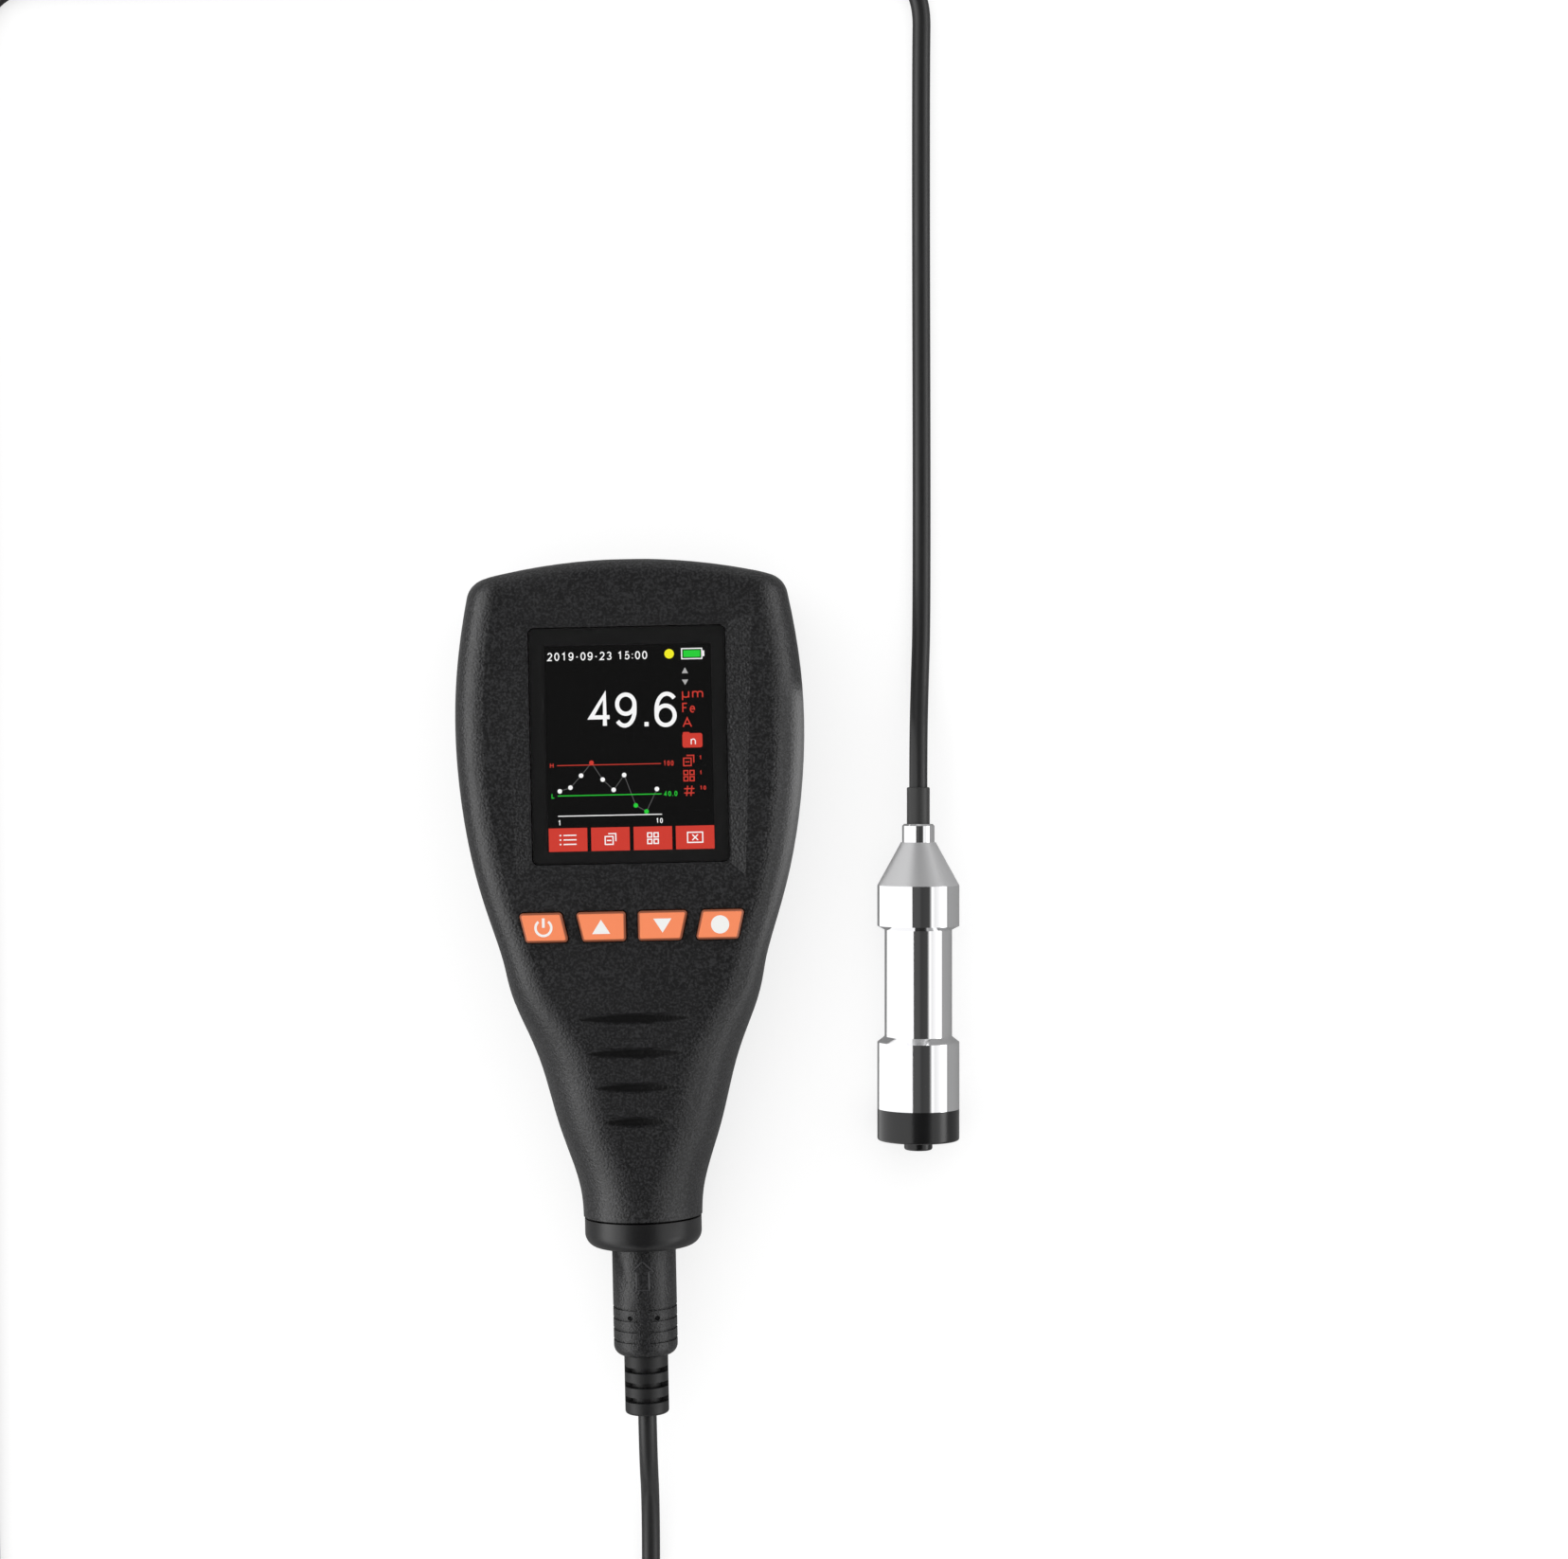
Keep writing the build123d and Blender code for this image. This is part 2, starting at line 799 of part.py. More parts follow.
def plug_shell():
    """The plug's grip: a cylinder with a rounded shoulder, ring grooves and two dimples."""
    start, end = plug_end_y, plug_start_y
    body = turned([(0, start), (plug_radius, start), (plug_radius, end), (0, end)])
    body = fillet(body.edges().filter_by(GeomType.CIRCLE).sort_by(Axis.Y)[0], plug_shoulder)
    free = 2 * plug_radius
    bridge = block((-plug_ring_bridge / 2, plug_ring_bridge / 2), (plug_end_y, plug_start_y), (-free, free))
    for number in range(plug_ring_count):
        y = plug_end_y + plug_last_ring + number * plug_ring_pitch
        low, high = y - plug_ring_width / 2, y + plug_ring_width / 2
        bottom = plug_radius - plug_ring_depth
        ring = turned([(bottom, low), (free, low), (free, high), (bottom, high)])
        body -= ring - bridge
    for side in (-1, 1):
        height = math.sqrt(plug_radius**2 - dimple_x**2)
        y = plug_end_y + dimple_from_end
        body -= rod(dimple_radius, height - dimple_depth, free, side * dimple_x, y)
    return neck_frame * body


def plug_nose():
    """The metal tube that enters the socket."""
    bore = nose_radius - nose_wall
    end = nose_end_y
    tube = turned([(bore, plug_start_y), (nose_radius, plug_start_y), (nose_radius, end), (bore, end)])
    return neck_frame * tube


def plug_insert():
    """The insulator in the nose, with one hole for each socket pin."""
    radius = nose_radius - nose_wall
    end = plug_start_y + insert_length
    body = turned([(0, plug_start_y), (radius, plug_start_y), (radius, end), (0, end)])
    hole = socket_pin_radius + insert_hole_clearance
    for x, z in pin_places():
        body -= neck_pin(hole, plug_start_y + socket_clearance, end + socket_clearance, x, z)
    return neck_frame * body


def strain_relief():
    """The slotted bend relief between plug and lead."""
    start, end = relief_end_y, plug_end_y
    body = turned([(0, start), (relief_radius, start), (relief_radius, end), (0, end)])
    body = fillet(body.edges().filter_by(GeomType.CIRCLE).sort_by(Axis.Y)[0], relief_round)
    bottom, free = relief_radius - relief_slot_depth, 2 * relief_radius
    spine = block((-free, free), (relief_end_y, plug_end_y), (-relief_spine / 2, relief_spine / 2))
    for number in range(relief_slot_count):
        y = plug_end_y - relief_first_slot - number * relief_slot_pitch
        low, high = y - relief_slot_width / 2, y + relief_slot_width / 2
        ring = turned([(bottom, low), (free, low), (free, high), (bottom, high)])
        body -= ring - spine
    return neck_frame * body


# Probe


def probe_base():
    """The black foot, with the hole for the tip and its spigot in the barrel."""
    bore = tip_radius + tip_clearance
    foot = turned(
        [
            (bore, 0),
            (probe_radius, 0),
            (probe_radius, base_length),
            (base_spigot_radius, base_length),
            (base_spigot_radius, base_length + base_spigot_length),
            (bore, base_length + base_spigot_length),
        ]
    )
    rim = foot.edges().filter_by(GeomType.CIRCLE).sort_by(Axis.Y)[:2].sort_by(SortBy.RADIUS)[-1]
    return probe_frame * fillet(rim, base_edge)


def probe_barrel():
    """The polished barrel: lower band, chamfered step and the narrower grip, bored through."""
    spigot = base_spigot_radius + probe_clearance
    joint_end = grip_end + barrel_joint_length
    profile = [
        (spigot, base_length),
        (probe_radius, base_length),
        (probe_radius, lower_band_end),
        (grip_radius, grip_start),
        (grip_radius, grip_end),
        (barrel_joint_radius, grip_end),
        (barrel_joint_radius, joint_end),
        (barrel_bore, joint_end),
        (barrel_bore, base_length + base_spigot_length + probe_clearance),
        (spigot, base_length + base_spigot_length + probe_clearance),
    ]
    return probe_frame * turned(profile)


def probe_cap():
    """The upper band and satin cone, bored for the barrel's joint and the lead."""
    joint = barrel_joint_radius + probe_clearance
    floor = grip_end + cap_bore_length
    throat = gland_spigot_radius + probe_clearance
    profile = [
        (joint, grip_end),
        (grip_radius, grip_end),
        (probe_radius, upper_band_start),
        (probe_radius, upper_band_end),
        (cone_top_radius, cone_end),
        (throat, cone_end),
        (throat, floor),
        (joint, floor),
    ]
    return probe_frame * turned(profile)


def probe_gland():
    """The nut that grips the lead where it enters the cone."""
    profile = [
        (0, gland_end),
        (gland_radius, gland_end),
        (gland_radius, cone_end),
        (gland_spigot_radius, cone_end),
        (gland_spigot_radius, cone_end - gland_spigot_length),
        (0, cone_end - gland_spigot_length),
    ]
    body = turned(profile)
    rim = body.edges().filter_by(GeomType.CIRCLE).sort_by(Axis.Y)[-1]
    return probe_frame * chamfer(rim, gland_edge)


def cable_sleeve():
    start, end = gland_end, sleeve_end
    body = turned([(0, start), (sleeve_radius, start), (sleeve_radius, end), (0, end)])
    rim = body.edges().filter_by(GeomType.CIRCLE).sort_by(Axis.Y)[-1]
    return probe_frame * fillet(rim, sleeve_edge)


def probe_tip():
    """The sprung measuring tip: a plunger with the flange that stops it on the foot."""
    shaft_end = tip_flange_end + coil_length
    bore = core_radius
    profile = [
        (0, -tip_reach),
        (tip_radius, -tip_reach),
        (tip_radius, tip_flange_start),
        (tip_flange_radius, tip_flange_start),
        (tip_flange_radius, tip_flange_end),
        (tip_radius, tip_flange_end),
        (tip_radius, shaft_end),
        (bore, shaft_end),
        (bore, core_start),
        (0, core_start),
    ]
    body = turned(profile)
    rim = body.edges().filter_by(GeomType.CIRCLE).sort_by(Axis.Y)[0]
    return probe_frame * fillet(rim, tip_round)


def tip_pole():
    """The hard rounded pole that touches the work."""
    ball = (pole_radius**2 + pole_rise**2) / (2 * pole_rise)
    pole = Location((0, -tip_reach - pole_rise + ball, 0)) * Sphere(ball)
    side = (-tip_radius, tip_radius)
    return probe_frame * (pole & block(side, (-tip_reach - tip_radius, -tip_reach), side))


def sensor_core():
    """The iron core inside the plunger."""
    end = tip_flange_end + coil_length
    core = turned([(0, core_start), (core_radius, core_start), (core_radius, end), (0, end)])
    return probe_frame * core


def sensor_coil():
    """The winding around the plunger, behind its flange."""
    start, end = tip_flange_end, tip_flange_end + coil_length
    winding = [(tip_radius, start), (coil_radius, start), (coil_radius, end), (tip_radius, end)]
    return probe_frame * turned(winding)


def spring_seat():
    """The ring inside the barrel that the tip's spring bears on."""
    start = tip_flange_end + coil_length + tip_spring_length
    inside = tip_spring_radius - 2 * tip_spring_wire
    ring = [(inside, start), (barrel_bore, start), (barrel_bore, start + wall), (inside, start + wall)]
    return probe_frame * turned(ring)


def tip_spring():
    coil = coil_spring(tip_spring_radius, tip_spring_length, tip_spring_turns, tip_spring_wire)
    place = Location((0, tip_flange_end + coil_length, 0), (-90, 0, 0))
    return probe_frame * (place * coil)


# Lead


def arc_radii(points):
    """Each corner's radius: 0.45 of its shorter run over the tangent of half its turn."""
    radii = []
    for before, here, after in zip(points, points[1:], points[2:]):
        arriving, leaving = here - before, after - here
        half_turn = math.radians(arriving.get_angle(leaving)) / 2
        radii.append(0.45 * min(arriving.length, leaving.length) / math.tan(half_turn))
    return radii


def lead():
    """The free lead, from the bend relief round to the probe's sleeve."""
    out = [Vector(0, relief_end_y, neck_axis_z), Vector(0, relief_end_y - lead_exit_run, neck_axis_z)]
    back = [(probe_frame * Location((0, sleeve_end + run, 0))).position for run in (lead_exit_run, 0)]
    points = [*out, *[Vector(*point) for point in lead_route], *back]
    radii = arc_radii(points)
    print("lead radii", [round(r, 1) for r in radii])
    path = FilletPolyline(*points, radius=radii)
    ring = Plane(origin=path @ 0, z_dir=path % 0) * Circle(lead_radius)
    tube = sweep(ring, path=path)
    print("lead length", round(path.length, 1), "volume", round(tube.volume, 1))
    print("section times length", round(math.pi * lead_radius**2 * path.length, 1))
    return tube


pieces = {
    "front_cover": front_cover,
    "rear_cover": rear_cover,
    "battery_door": battery_door,
    "display_window": display_window,
    "display_seal": display_seal,
    "display_module": display_module,
    "main_board": main_board,
    "key_contacts": key_contacts,
    "cover_screws": cover_screws,
    "contact_plates": contact_plates,
    "battery_springs": battery_springs,
    "end_collar": end_collar,
    "probe_socket": probe_socket,
    "socket_pins": socket_pins,
    "plug_shell": plug_shell,
    "plug_nose": plug_nose,
    "plug_insert": plug_insert,
    "strain_relief": strain_relief,
    "probe_base": probe_base,
    "probe_barrel": probe_barrel,
    "probe_cap": probe_cap,
    "probe_gland": probe_gland,
    "cable_sleeve": cable_sleeve,
    "probe_tip": probe_tip,
    "tip_pole": tip_pole,
    "sensor_core": sensor_core,
    "sensor_coil": sensor_coil,
    "spring_seat": spring_seat,
    "tip_spring": tip_spring,
    "lead": lead,
}


os.makedirs("parts", exist_ok=True)
for name, make in pieces.items():
    export_step(make(), f"parts/{name}.step")
for name, (side, outer) in key_layout.items():
    export_step(key(side, outer), f"parts/{name}.step")
for name, side in (("left_cell", -1), ("right_cell", 1)):
    export_step(cell(side), f"parts/{name}.step")
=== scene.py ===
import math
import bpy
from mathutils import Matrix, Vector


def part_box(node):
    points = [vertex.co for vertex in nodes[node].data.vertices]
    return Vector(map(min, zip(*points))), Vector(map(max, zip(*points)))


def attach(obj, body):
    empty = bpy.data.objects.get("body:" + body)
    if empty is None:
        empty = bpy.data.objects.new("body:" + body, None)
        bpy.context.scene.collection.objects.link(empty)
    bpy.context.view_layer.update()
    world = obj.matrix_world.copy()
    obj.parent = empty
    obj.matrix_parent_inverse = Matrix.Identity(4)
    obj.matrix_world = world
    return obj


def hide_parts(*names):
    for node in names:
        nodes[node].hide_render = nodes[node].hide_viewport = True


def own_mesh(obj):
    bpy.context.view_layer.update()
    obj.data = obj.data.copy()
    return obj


bl_info = {
    "name": "Coating thickness gauge",
    "version": (1, 0, 0),
    "blender": (4, 5, 0),
    "location": "3D View > Sidebar > Gauge",
    "description": "Finishes the gauge's parts and adds its screen picture, key signs, lead and studio",
    "category": "Object",
}

import bmesh
import bpy
from bpy.props import FloatProperty, FloatVectorProperty, PointerProperty, StringProperty
from bpy.types import NodeSocket, Operator, Panel, PropertyGroup
from mathutils import Vector

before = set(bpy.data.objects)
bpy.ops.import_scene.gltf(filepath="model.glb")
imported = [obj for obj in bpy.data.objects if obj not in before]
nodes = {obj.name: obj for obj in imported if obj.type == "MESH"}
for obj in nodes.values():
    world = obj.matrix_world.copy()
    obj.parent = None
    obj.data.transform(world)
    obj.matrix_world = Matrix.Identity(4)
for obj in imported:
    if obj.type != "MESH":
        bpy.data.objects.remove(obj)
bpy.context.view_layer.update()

MM = 0.001
black = (0.0, 0.0, 0.0)
soot = (0.02, 0.02, 0.022)
charcoal = (0.03, 0.03, 0.03)
white = (1.0, 1.0, 1.0)

# Grip grooves on the front cover, where shade is painted into the plastic's colour
first_groove_y = -0.0221
groove_pitch = 0.00717
groove_count = 4
first_groove_half = 0.0117
groove_shortening = 0.0016
groove_half_width = 0.001
groove_edge = 0.0004

# Lie of the probe beside the handset
probe_foot = Vector((0.0584, -0.0510, 0.0087))
probe_lean = math.radians(1.2)
probe_axis = Vector((math.sin(probe_lean), math.cos(probe_lean), 0.0))
cone_start = 0.0540
cone_edge = 0.0001
sleeve_end = 0.0748

# The lead's route from the bend relief round to the probe, its turns on the ground in millimetres
lead_exit_run = 0.0095
lead_height = 0.00195
lead_turns = [
    (-0.8, -153.9), (-41.0, -153.0), (-80.0, -153.7), (-112.9, -153.0), (-142.4, -153.2),
    (-142.15, -123.0), (-141.9, -75.0), (-140.8, -21.0), (-140.8, 33.0), (-139.4, 87.0),
    (-139.2, 139.0), (-138.4, 171.4), (-138.2, 200.6), (-108.9, 200.1), (-60.0, 200.7),
    (-12.0, 200.0), (37.5, 200.6), (64.9, 200.9), (63.9, 172.9), (61.9, 62.0),
]
lead_route = [
    (-0.0002, -0.1279, 0.0042),
    *((x * MM, y * MM, lead_height) for x, y in lead_turns),
    (0.0609, 0.0446, 0.0036),
]

# Raised arrow on the plug, its head and shaft as shares of its size
arrow_gap = 0.0024
arrow_steps = 8
arrow_head = 0.36
arrow_shaft = 0.31

# Signs on the keys, in millimetres and degrees
triangle_height = 0.78
ring_weight = 0.5
ring_gap = 38
ring_bar = (0.05, 0.12, 0.55)
sign_lift = 0.001

# Shares of a finish's own colour
# paler specks on the grain: painted glints on its pebbles
speck_painted_glint = 3.5
# painted shade in the grip grooves
groove_painted_shade = 0.2
# painted shade on the keys' rims
rim_painted_shade = 0.3
# painted highlight: the plug's arrow paler than the plug's plastic
arrow_painted_highlight = 5
cone_dull = 0.62
cone_metal = 0.5

# Where finishes change: below a key's top, where shade is painted on its rim, and along the cells
rim_band = (0.0002, 0.00002)
copper_start = 0.0490
copper_edge = 0.0002

# Window and screen, in millimetres
window_corner = 1.2
border_edge = 0.12
screen_width = 34.1
screen_height = 42.1
picture_sink = 0.3
view_margin = 0.05
picture_step = 0.01

# Place and look of the camera over the object
camera_place = Vector((0.0315, 0.0260, 0.5915))
camera_turn = math.radians(-1.2)
photo_width = 1656
focal_pixels = 2900

# Brightness of the sky as a share, by the angle from straight up towards +X in degrees
sky_bands = (
    (-90, 0.2), (-84, 0.9), (-68, 1.0), (-58, 0.6), (-40, 0.45), (-34, 0.3),
    (-30, 0.03), (0, 0.026), (6, 0.016), (28, 0.02), (32, 0.12), (37, 0.42),
    (44, 0.3), (60, 0.36), (66, 0.9), (78, 0.9), (85, 0.2), (90, 0.08),
)
upper_left = Vector((-0.5, 0.86, 0.0))

# Shares of the way to the object's ends where the sky dims, and where the far ends begin
dim_start = 0.3
dim_end = 0.75
far_start = 0.96

# White card between handset and probe, and the brightness of its side to the handset by its height
card_x = 0.0430
card_y = (-0.075, 0.045)
card_bands = (
    (0.0, 0.5), (0.020, 0.5), (0.0245, 1.9), (0.030, 2.2),
    (0.034, 0.75), (0.044, 0.8), (0.050, 1.5), (0.0585, 1.3),
)
card_fade = (-0.02, 0.02, 0.6, 1.0)
floor_half = 6.0


def box_corners(x0, y0, x1, y1):
    """The corners of a rectangle, back to its first one."""
    return [(x0, y0), (x1, y0), (x1, y1), (x0, y1), (x0, y0)]


# Strokes of the figures, in hundredths of their box: corners as (x, y), and arcs as
# (x, y, half width, half height, start, end) with turns in degrees
figure_strokes = {
    "0": [[(50, 50, 50, 50, 0, 360)]],
    "1": [[(12, 80), (60, 100), (60, 0)]],
    "2": [[(50, 71, 46, 29, 165, -38), (0, 0), (100, 0)]],
    "3": [[(46, 74, 42, 26, 155, -90), (46, 24, 50, 24, 90, -155)]],
    "4": [[(74, 0), (74, 100), (0, 28), (100, 28)]],
    "5": [[(90, 100), (20, 100), (12, 50), (48, 32, 50, 32, 135, -155)]],
    "6": [[(50, 31, 50, 31, 0, 360)], [(0, 31), (58, 50, 58, 50, 180, 45)]],
    "7": [[(0, 100), (100, 100), (35, 0)]],
    "8": [[(50, 75, 42, 25, 0, 360)], [(50, 26, 50, 26, 0, 360)]],
    "9": [[(50, 69, 50, 31, 0, 360)], [(100, 69), (42, 50, 58, 50, 0, -135)]],
    "-": [[(10, 42), (90, 42)]],
    ":": [[(50, 6), (50, 18)], [(50, 60), (50, 72)]],
    ".": [[(50, -4), (50, 10)]],
    "H": [[(0, 0), (0, 100)], [(100, 0), (100, 100)], [(0, 52), (100, 52)]],
    "L": [[(0, 100), (0, 0), (100, 0)]],
    "F": [[(100, 100), (0, 100), (0, 0)], [(0, 52), (85, 52)]],
    "e": [[(4, 36), (96, 36), (50, 33, 48, 33, 0, 310)]],
    "n": [[(0, 0), (0, 70)], [(50, 40, 50, 30, 180, 0), (100, 0)]],
    "m": [[(0, 0), (0, 70)], [(25, 45, 25, 22, 180, 0), (50, 0)], [(75, 45, 25, 22, 180, 0), (100, 0)]],
    "µ": [[(0, -30), (0, 70)], [(50, 30, 50, 27, 180, 360), (100, 70)], [(100, 30), (100, 0)]],
    "A": [[(0, 0), (50, 100), (100, 0)], [(20, 34), (80, 34)]],
}
figure_widths = {"-": 0.6, ":": 0.3, ".": 0.3, " ": 0.35, "m": 1.5}
figure_gap = 0.38
arc_step = 12
least_mitre = 0.4

# Strokes of the plain signs, round a middle and with a half size of one
sign_strokes = {
    "list": [[(-0.8, y), (1.5, y)] for y in (-0.8, 0.0, 0.8)],
    "dots": [[(-1.5, y), (-1.2, y)] for y in (-0.8, 0.0, 0.8)],
    "stack": [
        box_corners(-0.95, -0.95, 0.45, 0.45),
        [(-0.4, 0.95), (0.95, 0.95), (0.95, -0.4)],
        [(-0.65, -0.25), (0.15, -0.25)],
    ],
    "grid": [box_corners(x, y, x + 0.75, y + 0.75) for x in (-0.95, 0.2) for y in (-0.95, 0.2)],
    "count": [
        *([(x - 0.12, -0.95), (x + 0.12, 0.95)] for x in (-0.4, 0.4)),
        *([(-0.95, y), (0.95, y)] for y in (-0.4, 0.4)),
    ],
    "clear": [box_corners(-1.35, -0.9, 1.35, 0.9), [(-0.5, -0.5), (0.5, 0.5)], [(-0.5, 0.5), (0.5, -0.5)]],
}

# The screen's picture, in millimetres from its centre. Panels: ink, corner radius, left, bottom, right, top
screen_panels = (
    ("green", 0.0, 11.4, 18.3, 14.85, 19.7),
    ("white", 0.0, 15.35, 18.4, 15.7, 19.6),
    ("red", 0.45, 10.85, -0.25, 14.95, 2.7),
    ("red", 0.2, 10.95, 2.4, 12.35, 2.95),
    *(("red", 0.0, x, -21.05, x + 7.9, -16.25) for x in (-16.95, -8.25, 0.45, 9.1)),
)
# Lines: ink, weight, corners
screen_lines = (
    ("white", 0.22, box_corners(11.06, 17.96, 15.19, 20.04)),
    ("red", 0.17, [(-14.95, -3.4), (6.35, -3.4)]),
    ("green", 0.19, [(-14.95, -9.62), (6.35, -9.62)]),
    ("white", 0.19, [(-14.95, -13.78), (6.35, -13.78)]),
)
# Words: ink, text or the name of the setting that holds it, weight, left, bottom, right, top
screen_words = (
    ("white", "stamp", 0.24, -16.5, 18.05, 4.0, 19.75),
    ("red", "H", 0.17, -16.4, -3.9, -15.65, -2.85),
    ("green", "L", 0.17, -16.2, -10.12, -15.55, -9.12),
    ("red", "upper_limit", 0.17, 6.85, -3.9, 8.95, -2.8),
    ("green", "lower_limit", 0.17, 6.85, -10.12, 9.6, -9.07),
    ("white", "1", 0.17, -15.0, -15.7, -14.35, -14.6),
    ("white", "10", 0.17, 5.1, -15.6, 6.5, -14.55),
    ("red", "µm", 0.25, 10.95, 9.9, 15.3, 11.95),
    ("red", "Fe", 0.25, 10.95, 6.9, 13.6, 8.95),
    ("red", "A", 0.25, 10.95, 3.9, 12.9, 5.95),
    ("pale", "n", 0.2, 12.55, 0.3, 13.6, 2.05),
    ("red", "1", 0.17, 14.2, -2.75, 14.75, -1.9),
    ("red", "1", 0.17, 14.2, -5.85, 14.75, -5.0),
    ("red", "10", 0.17, 14.2, -8.95, 15.5, -8.1),
)
# Signs: ink, sign, weight, middle, half size
screen_signs = (
    *(("red", sign, 0.25, 12.05, y, 1.1) for sign, y in (("stack", -2.9), ("grid", -6.0), ("count", -9.1))),
    ("pale", "list", 0.24, -13.0, -18.65, 1.15),
    ("pale", "dots", 0.288, -13.0, -18.65, 1.15),
    ("pale", "stack", 0.24, -4.3, -18.65, 1.15),
    ("pale", "grid", 0.24, 4.4, -18.65, 1.15),
    ("pale", "clear", 0.24, 13.05, -18.65, 1.15),
)
lamp = (8.5, 19.05, 0.98)
page_marks = ([(11.0, 15.0), (12.3, 15.0), (11.65, 16.2)], [(11.0, 13.7), (11.65, 12.6), (12.3, 13.7)])
reading_weight = 0.84
reading_boxes = (
    (-8.2, 4.15, -3.55, 11.25), (-2.8, 4.1, 1.6, 11.3),
    (3.0, 4.12, 4.15, 11.3), (5.25, 4.05, 9.8, 11.3),
)
chart_points = [
    (-14.48, -8.67, "white"), (-12.29, -7.96, "white"), (-10.06, -5.55, "white"),
    (-7.87, -2.95, "red"), (-5.65, -6.44, "white"), (-3.44, -8.59, "white"),
    (-1.23, -5.6, "white"), (1.03, -11.87, "green"), (3.2, -13.16, "green"),
    (5.42, -8.6, "white"),
]
point_radius = 0.47
chart_weight = 0.12


# What the user may set


def size(label, default, text):
    """A length in metres."""
    return FloatProperty(name=label, description=text, default=default, min=0.0, unit="LENGTH", precision=5)


def share(label, default, text, high=1.0):
    """A plain number."""
    return FloatProperty(name=label, description=text, default=default, min=0.0, max=high)


def colour(label, default, text):
    return FloatVectorProperty(
        name=label, description=text, default=default, subtype="COLOR", size=3, min=0.0, max=1.0
    )


def words(label, default, text):
    return StringProperty(name=label, description=text, default=default)


class GaugeHousing(PropertyGroup):
    plastic: colour("Plastic", (0.0085, 0.0085, 0.009), "Colour of the moulded housing")
    grain: size("Grain", 0.0005, "Width of one grain of the moulded texture")
    grain_depth: size("Grain depth", 0.00013, "Height of the moulded texture")
    roughness: share("Roughness", 0.34, "How matte the plastic is")


class GaugeWindow(PropertyGroup):
    border: colour("Border", (0.0078, 0.0078, 0.0084), "Colour behind the window's edge")
    print_thickness: size("Print", 0.0001, "Thickness of the printed border")


class GaugeScreen(PropertyGroup):
    reading: words("Reading", "49.6", "The number shown large")
    stamp: words("Date and time", "2019-09-23 15:00", "The line at the top")
    upper_limit: words("Upper limit", "100", "Number at the red line")
    lower_limit: words("Lower limit", "40.0", "Number at the green line")
    white: colour("White", (0.95, 0.95, 0.95), "Figures and points")
    red: colour("Red", (0.62, 0.045, 0.03), "Fields and side signs")
    green: colour("Green", (0.02, 0.62, 0.04), "Lower limit and charge")
    yellow: colour("Yellow", (0.9, 0.85, 0.02), "Round lamp at the top")
    grey: colour("Grey", (0.42, 0.42, 0.42), "Small signs at the top")
    dim: colour("Dim", (0.12, 0.12, 0.12), "Thin lines between the chart's points")
    glow: share("Glow", 1.05, "Strength of the lit colours", high=4.0)


class GaugeKeys(PropertyGroup):
    rubber: colour("Key colour", (0.98, 0.26, 0.1), "Colour of the key caps")
    sign: colour("Sign colour", (0.9, 0.9, 0.88), "Colour of the printed signs")
    sign_width: size("Sign width", 0.0037, "Width of a key's sign")
    sign_thickness: size("Sign thickness", 0.00002, "Height of the print on a key")


class GaugePlug(PropertyGroup):
    plastic: colour("Plug plastic", (0.0075, 0.0075, 0.008), "Colour of the plug")
    relief: colour("Relief rubber", (0.008, 0.008, 0.0085), "Colour of the bend relief")
    arrow_length: size("Arrow length", 0.0060, "Length of the raised arrow")
    arrow_width: size("Arrow width", 0.0042, "Width of the arrow's head")
    arrow_ridge: size("Arrow ridge", 0.0002, "Half the width of the raised line")


class GaugeProbe(PropertyGroup):
    chrome: colour("Chrome", (0.86, 0.86, 0.87), "Colour of the polished barrel")
    polish: share("Polish", 0.035, "Roughness of the polished bands")
    satin: share("Satin", 0.36, "Roughness of the turned cone")
    foot: colour("Foot plastic", (0.006, 0.006, 0.0065), "Colour of the foot and tip")


class GaugeLead(PropertyGroup):
    sheath: colour("Sheath", (0.014, 0.014, 0.0145), "Colour of the lead's sheath")
    diameter: size("Diameter", 0.0039, "Outer diameter of the lead")
    length: size("Length", 0.905, "Real length of the lead")


class GaugeStudio(PropertyGroup):
    floor: colour("Floor", (0.38, 0.38, 0.38), "Colour of the floor")
    floor_glow: share("Floor glow", 0.7, "Light that the floor gives off")
    air: share("Surrounding light", 1.0, "Brightness all round", high=4.0)
    sides: share("Side brightness", 3.2, "Brightest part of the sides, in reflections", high=8.0)
    upper_end: share("Upper end", 0.3, "Share left towards the head's top")
    lower_end: share("Lower end", 0.45, "Share left towards the plug")
    ends: share("Far ends", 0.6, "Brightness low down beyond the head and the plug", high=4.0)
    slant: share("Slant", 0.5, "Extra light from the upper left, taken from the lower right")
    card: share("Card", 1.25, "Brightness of the card beside the handset", high=4.0)


settings_classes = {
    "gauge_housing": GaugeHousing,
    "gauge_window": GaugeWindow,
    "gauge_screen": GaugeScreen,
    "gauge_keys": GaugeKeys,
    "gauge_plug": GaugePlug,
    "gauge_probe": GaugeProbe,
    "gauge_lead": GaugeLead,
    "gauge_studio": GaugeStudio,
}


# Nodes


def add_socket(tree, label, end, kind="Float"):
    return tree.interface.new_socket(label, in_out=end, socket_type=f"NodeSocket{kind}")


def fill(tree, node, inputs):
    """Sets a node's inputs to plain values, or links them to sockets."""
    for label, value in inputs.items():
        if isinstance(value, NodeSocket):
            tree.links.new(value, node.inputs[label])
        else:
            node.inputs[label].default_value = value


def add_node(tree, kind, inputs=None, **choices):
    """A new node with its choices made and its inputs filled."""
    node = tree.nodes.new(kind)
    for name, value in choices.items():
        setattr(node, name, value)
    fill(tree, node, inputs or {})
    return node


